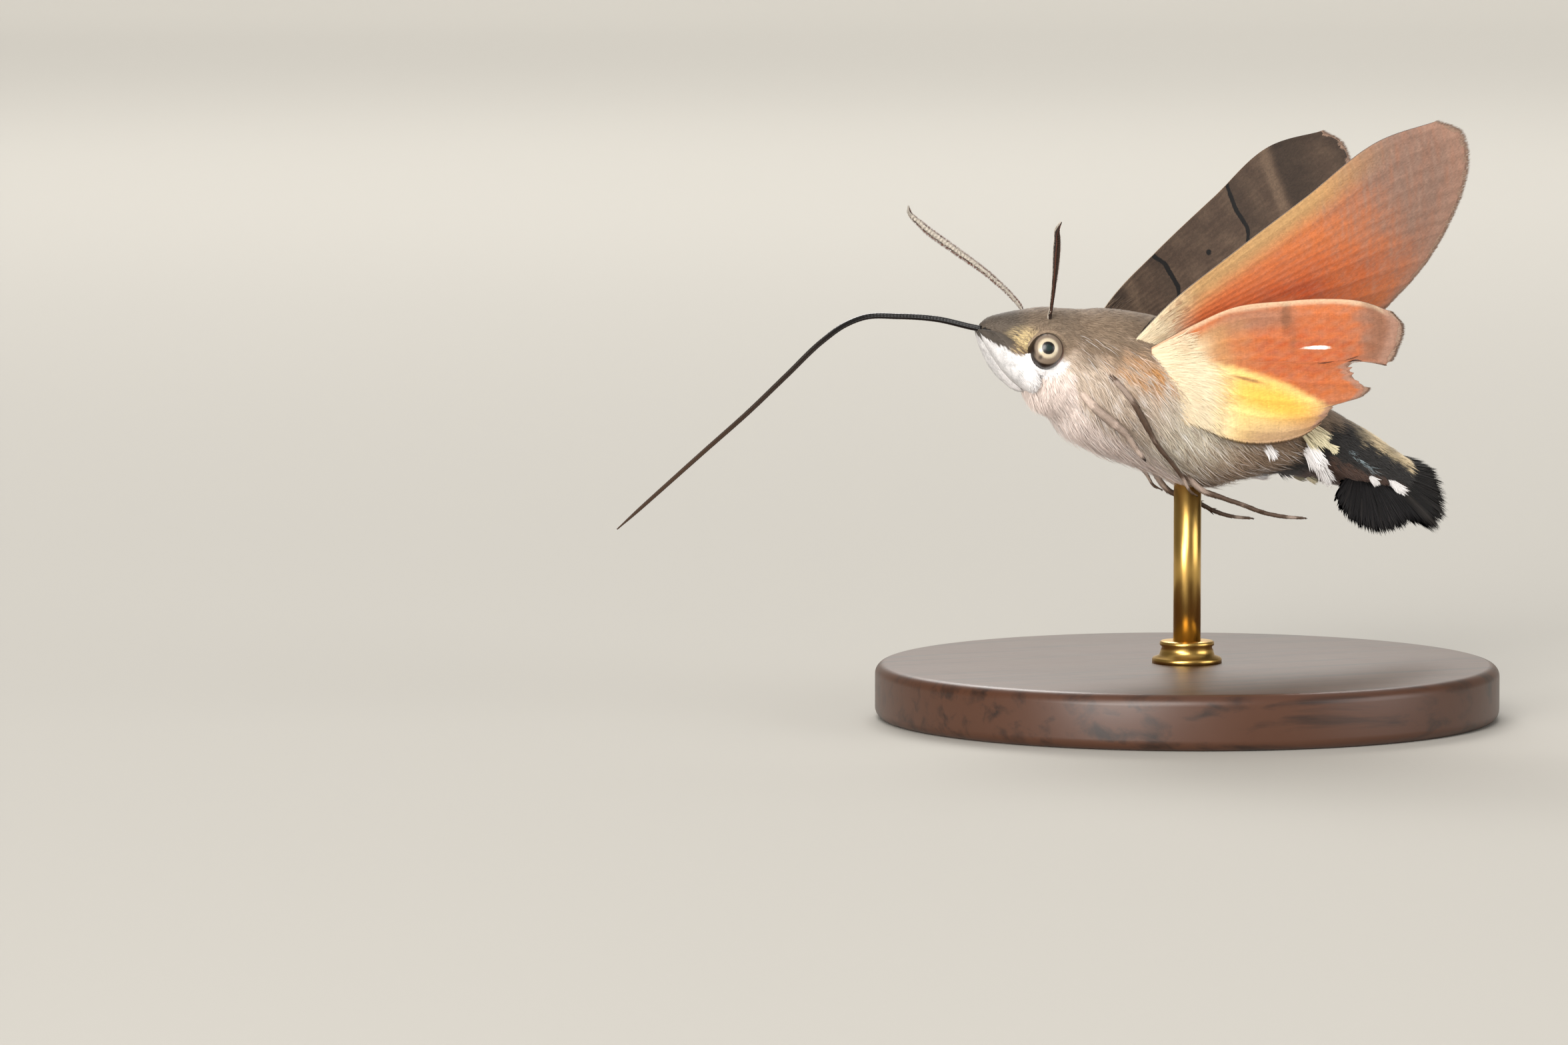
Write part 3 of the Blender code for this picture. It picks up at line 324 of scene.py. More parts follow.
class StandLook(bpy.types.PropertyGroup):
    """Colours of the display stand and the stage."""

    wood: colour_field("Wood", "4a2c1c", "Stained hardwood of the base")
    wood_grain: colour_field("Wood grain", "22120a", "Dark grain lines of the base")
    brass: colour_field("Brass", "c8a25a", "Rod and collar")
    floor: colour_field("Floor", "bbb8b1", "Plain floor and backdrop")


def cubic(a, slope_a, b, slope_b, t):
    """Return the places at t, from 0 to 1, of a cubic curve from a to b with slopes at its ends."""
    return (a * (2 * t**3 - 3 * t**2 + 1) + slope_a * (t**3 - 2 * t**2 + t)
            + b * (3 * t**2 - 2 * t**3) + slope_b * (t**3 - t**2))


def smooth_value(table, x, column=1):
    """Return a column of a table at x, on a curve through its rows that doesn't overshoot."""
    rows = np.asarray(table, float)
    knots, values = rows[:, 0], rows[:, column]
    steps = np.diff(knots)
    slopes = np.diff(values) / steps
    ahead, behind = slopes[1:], slopes[:-1]
    total = ahead + behind
    same_way = ahead * behind > 0.0
    inner = np.where(same_way, 2.0 * ahead * behind / np.where(total == 0.0, 1.0, total), 0.0)
    tangents = np.concatenate(([slopes[0]], inner, [slopes[-1]]))
    x = np.clip(np.asarray(x, float), knots[0], knots[-1])
    i = np.clip(np.searchsorted(knots, x, side="right") - 1, 0, len(steps) - 1)
    return cubic(values[i], tangents[i] * steps[i], values[i + 1], tangents[i + 1] * steps[i],
                 (x - knots[i]) / steps[i])


def columns(table, along):
    """Return the first three columns of a table at places along the body."""
    return (smooth_value(table, along, k) for k in (1, 2, 3))


def smooth_path(points, share):
    """Return the points at shares of the length of a smooth curve through the points."""
    points = np.asarray(points, float)
    chord = np.linalg.norm(np.diff(points, axis=0), axis=1)
    reach = np.concatenate(([0.0], np.cumsum(chord)))
    where = np.asarray(share, float) * reach[-1]
    i = np.clip(np.searchsorted(reach, where, side="right") - 1, 0, len(chord) - 1)
    t = ((where - reach[i]) / chord[i])[..., None]
    longer = np.concatenate(([2 * points[0] - points[1]], points, [2 * points[-1] - points[-2]]))
    runs = np.concatenate(([chord[0]], chord, [chord[-1]]))
    before, a, b, after = longer[i], longer[i + 1], longer[i + 2], longer[i + 3]
    back, own, front = (runs[i + k][..., None] for k in (0, 1, 2))
    slope_a = ((b - a) / own * back + (a - before) / back * own) / (own + back) * own
    slope_b = ((b - a) / own * front + (after - b) / front * own) / (own + front) * own
    return cubic(a, slope_a, b, slope_b, t)


def unit(vectors):
    """Return vectors scaled to length one."""
    return vectors / np.maximum(np.linalg.norm(vectors, axis=-1, keepdims=True), 1e-9)


def fade(value, start, end):
    """Return a soft step from 0 at start to 1 at end."""
    t = np.clip((np.asarray(value, float) - start) / (end - start), 0.0, 1.0)
    return t * t * (3 - 2 * t)


def spot(distance, radius, soft=0.5):
    """Return a mask that is 1 inside a radius and fades out over soft of it."""
    return 1.0 - fade(distance, radius * (1 - soft), radius * (1 + soft))


def mix(base, colour, mask):
    """Blend a colour over base colours by a mask."""
    mask = np.clip(mask, 0.0, 1.0)[:, None]
    return base * (1 - mask) + np.asarray(colour, float) * mask


def plain(colour, count):
    """Return count rows of one colour."""
    return np.tile(np.asarray(colour[:]), (count, 1))


def layered(base, count, *layers):
    """Return rows of a base colour under layers of (colour, mask), in order."""
    colour = plain(base, count)
    for over, mask in layers:
        colour = mix(colour, over, mask)
    return colour


def ripple(x, y, pitch, seed):
    """Return a smooth uneven pattern from about -1 to 1, its waves about pitch long."""
    rng = np.random.default_rng(seed)
    total = 0.0
    for _ in range(7):
        turn = rng.uniform(0.0, math.tau)
        often = math.tau / pitch * rng.uniform(0.55, 1.6)
        total = total + np.sin(often * (x * math.cos(turn) + y * math.sin(turn)) + rng.uniform(0, math.tau))
    return total / 2.6


def place(points):
    """Turn points of the moth's own frame, in millimetres, into the model's metres."""
    points = np.asarray(points, float)
    world = CENTRE + points[..., 0:1] * AHEAD + points[..., 1:2] * SIDEWAYS + points[..., 2:3] * OVER
    return world * MM


def fold(angle):
    """Return an angle round the body folded onto the left side, -90 to 90."""
    angle = np.mod(np.asarray(angle, float) + 90.0, 360.0) - 90.0
    return np.where(angle > 90.0, 180.0 - angle, angle)


def coat_length(along, angle):
    """Return the length of the coat's locks at a place on the body."""
    high = np.sin(np.radians(fold(angle)))
    back, flank, belly = columns(COAT_STATIONS, along)
    over, under = (np.maximum(part, 0.0) ** 1.5 for part in (high, -high))
    return flank + (back - flank) * over + (belly - flank) * under


def body_surface(along, angle, lift=0.0):
    """Return points of the skin, or lift above it; the coat's outside is a coat depth higher."""
    along = np.asarray(along, float)
    top, bottom, half = columns(BODY_STATIONS, along)
    depth = lift - COAT_SHARE * coat_length(along, angle)
    turn = np.radians(angle)
    high = np.maximum((top - bottom) / 2 + depth, 0.05)
    wide = np.maximum(half + depth, 0.05)
    return np.stack([along, -wide * np.cos(turn), (top + bottom) / 2 + high * np.sin(turn)], axis=-1)


def body_frame(along, angle):
    """Return points on the skin, outward directions and the ways back and up round it."""
    step = 0.02
    here = body_surface(along, angle)
    back = unit(body_surface(along + step, angle) - body_surface(along - step, angle))
    wrap = unit(body_surface(along, angle + 1.0) - body_surface(along, angle - 1.0))
    out = unit(np.cross(wrap, back))
    outward = np.sum((out * here)[:, 1:], axis=-1, keepdims=True)
    out = np.where(outward < 0, -out, out)
    right_side = (np.cos(np.radians(angle)) < 0)[:, None]
    return here, out, back, np.where(right_side, -wrap, wrap)


def scatter(start, end, spacing, rng):
    """Return evenly spread, jittered places (along, angle) on the body."""
    alongs, angles = [], []
    for along in np.arange(start, end, spacing * 0.92):
        top, bottom, half = columns(BODY_STATIONS, along)
        girth = math.tau * math.sqrt(((top - bottom) ** 2 / 4 + half**2) / 2)
        count = max(6, int(girth / spacing))
        angle = (np.arange(count) + rng.random()) * 360.0 / count
        angles.append(angle + rng.uniform(-0.45, 0.45, count) * 360.0 / count)
        alongs.append(along + rng.uniform(-0.45, 0.45, count) * spacing)
    return np.concatenate(alongs), np.concatenate(angles)


def grow_locks(root, out, lie, length, width, rise, rng, steps=2, settle=-3.0, sway=0.2, flat=0.45,
               profile=(1.0, 0.8, 0.62, 0.4), soft=0.6):
    """Return tapered, bent, three-sided locks as points, faces and values along and per lock."""
    count = len(root)
    length, width, rise = (np.broadcast_to(value, count) for value in (length, width, rise))
    side = unit(np.cross(lie, out))
    lie = unit(np.cross(out, side))
    tilt = rng.normal(0.0, sway, count)[:, None]
    centre = root.copy()
    rings, normals = [], []
    for k in range(steps):
        t = k / steps
        angle = np.radians(rise + (settle - rise) * t * 1.1)[:, None]
        heading = unit(lie * np.cos(angle) + out * np.sin(angle) + side * tilt * (0.3 + t))
        raised = unit(np.cross(side, heading))
        half = (width / 2 * profile[k])[:, None]
        corners = centre - side * half, centre + side * half, centre + raised * half * 2 * flat
        rings.append(np.stack(corners, 1))
        normals.append(np.stack([out * soft + way * (1 - soft) for way in (-side, side, raised)], 1))
        centre = centre + heading * (length / steps)[:, None]
    points = np.concatenate([*rings, centre[:, None]], axis=1)
    normals = unit(np.concatenate([*normals, (out + heading * 0.2)[:, None]], axis=1))
    each = points.shape[1]
    quads = [(3 * k + (j + 1) % 3, 3 * k + j, 3 * k + 3 + j, 3 * k + 3 + (j + 1) % 3)
             for k in range(steps - 1) for j in range(3)]
    last = 3 * (steps - 1)
    tris = [(last + (j + 1) % 3, last + j, each - 1) for j in range(3)] + [(0, 1, 2)]
    shift = (np.arange(count) * each)[:, None, None]
    faces = [(np.asarray(tris) + shift).reshape(-1, 3)]
    if quads:
        faces.append((np.asarray(quads) + shift).reshape(-1, 4))
    reach = np.array([k / steps for k in range(steps) for _ in range(3)] + [1.0])
    return {
        "points": points.reshape(-1, 3),
        "normals": normals.reshape(-1, 3),
        "faces": faces,
        "each": each,
        "reach": np.tile(reach, count),
        "chance": np.repeat(rng.random(count), each),
    }


def finish_locks(locks, tint, u, v):
    """Add each lock's colour and its small patch of the skin's unwrap, rooted at (u, v)."""
    each = locks["each"]
    locks["tint"] = np.repeat(tint, each, axis=0)
    across = np.tile(np.array([-0.0012, 0.0012, 0.0] * ((each - 1) // 3) + [0.0]), len(tint))
    spread = np.stack([across, locks["reach"] * 0.0026], axis=-1)
    spots = np.stack(np.broadcast_arrays(u, v), axis=-1)
    locks["patch"] = np.repeat(np.clip(spots, 0.004, 0.994), each, axis=0) + spread
    return locks


def body_spots(along, angle, start, end, inset):
    """Return the place on the body's unwrap of (along, angle) between two ends of a piece."""
    return (along - start) / (end - start) * 0.98 + inset, np.mod(angle, 360.0) / 360.0 * 0.98 + inset


def gather(batches):
    """Join several batches of locks into one."""
    keys = ("points", "normals", "reach", "chance", "tint", "patch")
    joined = {key: np.concatenate([batch[key] for batch in batches]) for key in keys}
    by_size = {}
    start = 0
    for batch in batches:
        for faces in batch["faces"]:
            by_size.setdefault(faces.shape[1], []).append(faces + start)
        start += len(batch["points"])
    joined["faces"] = [np.concatenate(parts) for parts in by_size.values()]
    return joined


def make_piece(name, points, faces, materials, values=None, patches=None, looks=None, replaced=(), slot=None,
               moth_frame=True, normals=None):
    """Make an object of arrays and let it ride on the model's one body."""
    mesh = bpy.data.meshes.new(name)
    places = place(points) if moth_frame else np.asarray(points, float) * MM
    corners = np.concatenate([f.ravel() for f in faces]).astype(np.int32)
    sizes = np.concatenate([np.full(len(f), f.shape[1]) for f in faces])
    starts = np.concatenate(([0], np.cumsum(sizes)[:-1])).astype(np.int32)
    mesh.vertices.add(len(places))
    mesh.vertices.foreach_set("co", places.astype(np.float32).ravel())
    mesh.loops.add(len(corners))
    mesh.loops.foreach_set("vertex_index", corners)
    mesh.polygons.add(len(sizes))
    mesh.polygons.foreach_set("loop_start", starts)
    mesh.polygons.foreach_set("use_smooth", np.ones(len(sizes), bool))
    for material in materials:
        mesh.materials.append(material)
    if looks is not None:
        mesh.polygons.foreach_set("material_index", np.asarray(looks, np.int32))
    mesh.update(calc_edges=True)
    for key, data in (values or {}).items():
        data = np.asarray(data, np.float32)
        if data.ndim == 1:
            mesh.attributes.new(key, "FLOAT", "POINT").data.foreach_set("value", data)
        elif key == "tint":
            rgba = np.concatenate([data, np.ones((len(data), 1), np.float32)], axis=1)
            mesh.attributes.new(key, "FLOAT_COLOR", "POINT").data.foreach_set("color", rgba.ravel())
        else:
            mesh.attributes.new(key, "FLOAT_VECTOR", "POINT").data.foreach_set("vector", data.ravel())
    if patches is not None:
        layer = mesh.uv_layers.new(name="OFBake")
        layer.data.foreach_set("uv", np.asarray(patches, np.float32)[corners].ravel())
    if normals is not None:
        ways = normals[:, 0:1] * AHEAD + normals[:, 1:2] * SIDEWAYS + normals[:, 2:3] * OVER
        mesh.normals_split_custom_set_from_vertices(ways.tolist())
    if mesh.validate():
        raise RuntimeError(name + " has faces that Blender had to mend")
    piece = bpy.data.objects.new(name, mesh)
    bpy.context.scene.collection.objects.link(piece)
    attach(piece, "root")
    if replaced:
        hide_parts(*replaced)
    return piece


def lock_piece(name, batches, material, slot, even=False):
    """Make one coat piece of several batches of locks, shaded softly or, if even, alike from all sides."""
    coat = gather(batches)
    values = {key: coat[key] for key in ("tint", "reach", "chance")}
    return make_piece(name, coat["points"], coat["faces"], [material], values, coat["patch"], slot=slot,
                      normals=None if even else coat["normals"])


def grid_faces(rows, columns, closed, flip=False):
    """Return the quads of a grid of points, closed round its columns if asked."""
    last = columns if closed else columns - 1
    r, c = np.meshgrid(np.arange(rows - 1), np.arange(last), indexing="ij")
    d = (c + 1) % columns
    quads = np.stack([r * columns + c, r * columns + d, (r + 1) * columns + d, (r + 1) * columns + c], -1)
    quads = quads.reshape(-1, 4)
    return quads[:, ::-1] if flip else quads


def closed_tube(rings):
    """Return points and faces of rings joined into a closed body, wound to face outward."""
    rows, columns = rings.shape[:2]
    points = rings.reshape(-1, 3)
    ends = np.stack([rings[0].mean(0), rings[-1].mean(0)])
    quads = grid_faces(rows, columns, True)
    turn = np.arange(columns)
    first = np.stack([(turn + 1) % columns, turn, np.full(columns, len(points))], -1)
    base = (rows - 1) * columns
    final = np.stack([base + turn, base + (turn + 1) % columns, np.full(columns, len(points) + 1)], -1)
    points = np.concatenate([points, ends])
    tris = np.concatenate([first, final])
    a, b, c = (points[quads[:, k]] for k in (0, 1, 2))
    if np.sum(np.cross(b - a, c - a) * (a - points.mean(0))) < 0:
        quads, tris = quads[:, ::-1], tris[:, ::-1]
    return points, [quads, tris]


def with_ends(values):
    """Return values of a tube's points in their rings with those of its two end points."""
    return np.concatenate([values, values[[0]], values[[-1]]])


def path_frames(path):
    """Return two directions square to a path at each of its points."""
    ahead = unit(np.gradient(path, axis=0))
    across = np.zeros_like(path)
    hand = unit(np.cross(ahead[0], np.array((0.0, 0.31, 0.95))))
    for i, way in enumerate(ahead):
        hand = unit(hand - way * np.dot(hand, way))
        across[i] = hand
    return across, np.cross(ahead, across), ahead


def tube_rings(path, radii, sides, flatness=1.0):
    """Return the rings of a tube round a path."""
    across, upward, _ = path_frames(path)
    turn = np.arange(sides) * math.tau / sides
    radii = np.asarray(radii, float)[:, None, None]
    wide = np.cos(turn)[None, :, None] * across[:, None, :]
    high = np.sin(turn)[None, :, None] * upward[:, None, :] * flatness
    return path[:, None, :] + (wide + high) * radii


def mirrored(points, side):
    """Return points of the left side, or their mirror images for the right."""
    return points * np.array((1.0, -side, 1.0))


def node(tree, kind, inputs=None, **settings):
    """Add a shader node, set it up and link or set its inputs."""
    item = tree.nodes.new(kind)
    for key, value in settings.items():
        setattr(item, key, value)
    for key, value in (inputs or {}).items():
        if isinstance(value, bpy.types.NodeSocket):
            tree.links.new(value, item.inputs[key])
        else:
            item.inputs[key].default_value = value
    return item


def attribute(tree, name, output="Fac"):
    """Return a socket that reads a value stored on the mesh."""
    return node(tree, "ShaderNodeAttribute", attribute_name=name).outputs[output]


def maths(tree, operation, a, b=0.0, c=0.0):
    """Return the result socket of a Math node."""
    return node(tree, "ShaderNodeMath", {0: a, 1: b, 2: c}, operation=operation).outputs[0]


def blend(tree, factor, a, b, kind="MIX"):
    """Return the colour socket of a mix of two colours."""
    item = node(tree, "ShaderNodeMix", {"Factor": factor}, data_type="RGBA", blend_type=kind)
    for socket, value in ((item.inputs[6], a), (item.inputs[7], b)):
        if isinstance(value, bpy.types.NodeSocket):
            tree.links.new(value, socket)
        else:
            socket.default_value = (*value[:3], 1.0)
    return item.outputs[2]


def lit(tree, colour, light):
    """Return the colour socket of a colour times a value."""
    grey = node(tree, "ShaderNodeCombineColor", {"Red": light, "Green": light, "Blue": light})
    return blend(tree, 1.0, colour, grey.outputs[0], "MULTIPLY")


def ramp(tree, factor, stops):
    """Return the colour socket of a colour ramp with stops of (place, colour)."""
    item = node(tree, "ShaderNodeValToRGB", {"Fac": factor})
    points = item.color_ramp.elements
    while len(points) < len(stops):
        points.new(1.0)
    for point, (where, colour) in zip(points, stops):
        point.position = where
        point.color = (*colour[:3], 1.0)
    return item.outputs["Color"]


def speckled(tree, colour, grain, *stops):
    """Return the colour socket of a colour times a ramp over a grain; its stops are (place, light)."""
    light = ramp(tree, grain, [(where, (light,) * 3) for where, light in stops])
    return blend(tree, 1.0, colour, light, "MULTIPLY")


def noise(tree, scale, detail, **inputs):
    """Return the value socket of a noise."""
    return node(tree, "ShaderNodeTexNoise", {"Scale": scale, "Detail": detail, **inputs}).outputs["Fac"]


def stretched(tree, place_at, by):
    """Return the socket of a place stretched along its axes."""
    return node(tree, "ShaderNodeVectorMath", {0: place_at, 1: by}, operation="MULTIPLY").outputs[0]


def object_place(tree):
    """Return the socket of a place on the object."""
    return node(tree, "ShaderNodeTexCoord").outputs["Object"]


def shader_group(name, inputs, outputs, wire):
    """Return a shader node group, made when first asked for; wire links its inputs to its outputs."""
    tree = bpy.data.node_groups.get(name)
    if tree:
        return tree
    tree = bpy.data.node_groups.new(name, "ShaderNodeTree")
    for label, value in inputs.items():
        kind = value if isinstance(value, str) else "Float"
        socket = tree.interface.new_socket(name=label, in_out="INPUT", socket_type="NodeSocket" + kind)
        if kind == "Float":
            socket.default_value = value
    for label, kind in outputs.items():
        tree.interface.new_socket(name=label, in_out="OUTPUT", socket_type="NodeSocket" + kind)
    given, result = tree.nodes.new("NodeGroupInput").outputs, tree.nodes.new("NodeGroupOutput").inputs
    for label, socket in zip(outputs, wire(tree, given)):
        tree.links.new(socket, result[label])
    return tree


def lock_shade(tree, given):
    """Darken a lock's root, lighten its tip and vary it by chance."""
    rise = maths(tree, "SUBTRACT", given["Tip light"], given["Root shade"])
    eased = maths(tree, "POWER", given["Reach"], 0.6)
    along = maths(tree, "MULTIPLY_ADD", eased, rise, given["Root shade"])
    spread = maths(tree, "SUBTRACT", given["Chance"], 0.5)
    varied = maths(tree, "MULTIPLY_ADD", spread, given["Variation"], 1.0)
    return [lit(tree, given["Tint"], maths(tree, "MULTIPLY", along, varied))]


def scale_grain(tree, given):
    """Lay small cells in rows, like overlapping scales, with streaks across them."""
    rows = stretched(tree, given["Place"], (1.0, 1.9, 1.0))
    cells = node(tree, "ShaderNodeTexVoronoi",
                 {"Vector": rows, "Scale": given["Row pitch"], "Randomness": 0.75})
    part = node(tree, "ShaderNodeSeparateColor", {"Color": cells.outputs["Color"]})
    slant = stretched(tree, given["Place"], (3.2, 0.55, 1.0))
    streaks = noise(tree, 1.6, 5.0, Vector=slant, Roughness=0.65)
    fleck = maths(tree, "SUBTRACT", part.outputs[0], 0.5)
    by_cell = maths(tree, "MULTIPLY_ADD", fleck, given["Contrast"], 1.0)
    wave = maths(tree, "SUBTRACT", streaks, 0.5)
    light = maths(tree, "MULTIPLY_ADD", wave, given["Streak"], by_cell)
    inverse = maths(tree, "SUBTRACT", 1.0, cells.outputs["Distance"])
    return lit(tree, given["Tint"], light), maths(tree, "MULTIPLY_ADD", streaks, 0.5, inverse)


def handled_clouds(tree, given):
    """Lay faint clouds over colour and roughness, as of a finish often handled."""
    clouds = noise(tree, given["Scale"], 6.0, Vector=given["Place"], Roughness=0.6)
    wave = maths(tree, "SUBTRACT", clouds, 0.5)
    light = maths(tree, "MULTIPLY_ADD", wave, given["Change"], 1.0)
    return lit(tree, given["Tint"], light), maths(tree, "MULTIPLY_ADD", wave, given["Change"], given["Dull"])


def new_material(name, roughness, **sockets):
    """Return a material, its node tree and its Principled shader, with plain sockets set."""
    material = bpy.data.materials.new(name)
    material.use_nodes = True
    tree = material.node_tree
    shader = tree.nodes["Principled BSDF"]
    shader.inputs["Roughness"].default_value = roughness
    for key, value in sockets.items():
        shader.inputs[key.replace("_", " ")].default_value = value
    return material, tree, shader


def feed(tree, shader, colour, height=None, strength=0.0, depth=0.0):
    """Link a colour, and a height through a bump if there is one, to a material's shader."""
    tree.links.new(colour, shader.inputs["Base Color"])
    if height is not None:
        bump = node(tree, "ShaderNodeBump", {"Height": height, "Strength": strength, "Distance": depth})
        tree.links.new(bump.outputs["Normal"], shader.inputs["Normal"])


def coat_material(name, root_shade, tip_light, variation, roughness=0.72, **sockets):
    """Return the material of a coat whose locks carry their own tint."""
    found = bpy.data.materials.get(name)
    if found:
        return found
    material, tree, shader = new_material(name, roughness, **sockets)
    effect = shader_group("Lock shade", {"Tint": "Color", "Reach": 0.5, "Chance": 0.5, "Root shade": 0.55,
                                         "Tip light": 1.1, "Variation": 0.3}, {"Color": "Color"}, lock_shade)
    shade = node(tree, "ShaderNodeGroup", {
        "Tint": attribute(tree, "tint", "Color"), "Reach": attribute(tree, "reach"),
        "Chance": attribute(tree, "chance"), "Root shade": root_shade, "Tip light": tip_light,
        "Variation": variation}, node_tree=effect)
    feed(tree, shader, shade.outputs["Color"])
    return material


def skin_material():
    """Return the material of the skin under the coat, with the coat's own markings, darkened by painted shade
    between the locks over a fine grain.
    """
    material, tree, shader = new_material("skin under the coat", 0.85)
    grain_and_shade = noise(tree, 2600.0, 4.0, Vector=object_place(tree), Roughness=0.7)
    # painted shade: the skin is darkened to between 0.42 and 0.85 of its tint, as if shaded by the locks over
    # it, speckled by the grain
    colour = speckled(tree, attribute(tree, "tint", "Color"), grain_and_shade, (0.3, 0.42), (0.7, 0.85))
    feed(tree, shader, colour, grain_and_shade, 0.4, 0.00005)
    return material


def wing_material(name, contrast, streak, line_colour):
    """Return the material of one side of a wing: its colours, its sharp lines and its fine scales."""
    material, tree, shader = new_material(name, 0.7, Specular_IOR_Level=0.3, Sheen_Weight=0.1)
    flat_place = attribute(tree, "flat_place", "Vector")
    wobble = noise(tree, 2.2, 4.0, Vector=flat_place, Roughness=0.7)
    shift = maths(tree, "SUBTRACT", wobble, 0.5)
    gap = maths(tree, "MULTIPLY_ADD", shift, 0.16, attribute(tree, "line_gap"))
    off_line = node(tree, "ShaderNodeMapRange", {"Value": gap, "From Min": 0.12, "From Max": 0.20},
                    interpolation_type="SMOOTHSTEP").outputs["Result"]
    painted = blend(tree, off_line, line_colour[:], attribute(tree, "tint", "Color"))
    effect = shader_group("Scale grain", {"Tint": "Color", "Place": "Vector", "Row pitch": 7.0,
                                          "Contrast": 0.25, "Streak": 0.3},
                          {"Color": "Color", "Height": "Float"}, scale_grain)
    grain = node(tree, "ShaderNodeGroup", {"Tint": painted, "Place": flat_place, "Contrast": contrast,
                                           "Streak": streak}, node_tree=effect)
    feed(tree, shader, grain.outputs["Color"], grain.outputs["Height"], 0.35, 0.00003)
    return material


def coat_tint(along, angle, look):
    """Return the coat's colours at places on the body, the same on both sides."""
    angle, count = fold(angle), len(along)
    arc = np.radians(angle) * smooth_value(BODY_STATIONS, along, 3)
    streak = ripple(along + 0.5 * arc, arc * 2.2 - along, 1.1, 3)
    fine = ripple(along * 1.3, arc * 2.5, 0.6, 8)
    cloud = ripple(along, arc, 3.2, 5)
    flank = layered(
        look.flank_front_and_shadow, count,
        (look.flank_rear, fade(along, 0.0, 3.5)),
        (look.belly, fade(along - 0.03 * angle, 3.6, 8.0) * 0.9),
        (look.flank_streak, fade(streak, 0.2, 1.2) * (0.40 + 0.35 * fade(along, 1.0, 6.0))),
        (look.tuft_white, fade(-streak, 0.5, 1.3) * 0.4 * fade(along, 8.0, 5.0)),
    )
    back_edge, breast_edge = smooth_value(BACK_EDGE, along), smooth_value(BREAST_EDGE, along)
    wing_root = np.hypot((along - 0.1) / 1.7, (angle - 15) / 13)
    cheek = np.hypot((along + 6.25) / 0.68, (angle + 17) / 31)
    start = 10.2 + 3.2 * fade(angle, -10, 60) - 1.0 * fade(angle, -30, -80) + 0.5 * streak
    strip = fade(along + 0.3 * streak, 13.3, 15.6) * fade(angle + 6 * streak, 20, 34)
    glint = spot(np.abs(angle + 4 + 6.5 * (along - 13.6)), 2.1, 0.6) * fade(along, 13.0, 13.5)
    under = fade(along, 11.2, 12.6) * fade(angle + 5 * streak, -16, -32)
    colour = layered(
        look.back, count,
        (look.back_fleck, 0.30 + 0.30 * fine + 0.15 * cloud),
        (flank, fade(back_edge - angle + 9 * streak, -13, 13)),
        (look.gold, spot(wing_root, 1.0, 0.8) * (0.5 + 0.4 * streak)),
        (look.breast, fade(breast_edge - angle + 5 * streak, -6, 6)),
        (look.snout, fade(along, -2.6, -4.4) * fade(angle, 5, 40) * 0.32),
        (look.snout, fade(along, -5.9, -6.9) * fade(angle, -75, -40) * 0.85),
        (look.cheek, spot(cheek, 1.0, 0.7) * (0.62 + 0.45 * fine)),
        (look.hind, fade(along, start - 0.9, start + 0.9)),
        (look.hind_strip, strip * (0.8 + 0.2 * cloud)),
        (look.hind_glint, glint * fade(along, 16.2, 15.6) * 0.85),
        (look.hind_underside, under * 0.85),
    )
    return np.clip(colour, 0.0, 1.0)


def socket_tint(colour, root, look):
    """Colour the white crescent under each eye, and paint a shadow just below it, between palp and cheek, by
    mixing the white fur there towards the darker flank beige.
    """
    away = np.stack([root[:, 0], np.abs(root[:, 1]), root[:, 2]], -1) - EYE_CENTRE
    reach = np.linalg.norm(away, axis=1)
    under = fade(-away[:, 2] + 0.25 * away[:, 0], 0.30, 0.60)
    # painted shadow: a band just below each crescent, between palp and cheek, mixed towards the darker flank
    # beige
    pale = spot(np.abs(reach - 1.62), 0.30, 0.6) * under * fade(away[:, 0], 0.7, -0.1)
    return mix(mix(colour, look.flank_front_and_shadow, pale), look.tuft_white, spot(reach, 1.32, 0.06) * under)


def build_skin(moth):
    """Build one skin from snout to tail under the whole coat."""
    along, angle = np.meshgrid(np.linspace(SNOUT, BODY_END, 210), np.arange(104) * 360.0 / 104, indexing="ij")
    rings = body_surface(along, angle)
    points, faces = closed_tube(rings)
    tint = socket_tint(coat_tint(along.ravel(), angle.ravel(), moth.coat), rings.reshape(-1, 3), moth.coat)
    spots = np.stack(body_spots(along.ravel(), angle.ravel(), SNOUT, BODY_END, 0.01), -1)
    make_piece("body_skin", points, faces, [skin_material()], {"tint": with_ends(tint)}, with_ends(spots),
               replaced=("head", "thorax", "abdomen", "tail_fan"), slot="fur")


def drooping(back, climb, droop):
    """Return the ways that lie back along the body but droop, in radians, towards the belly."""
    return back * np.cos(droop)[:, None] - climb * np.sin(droop)[:, None]


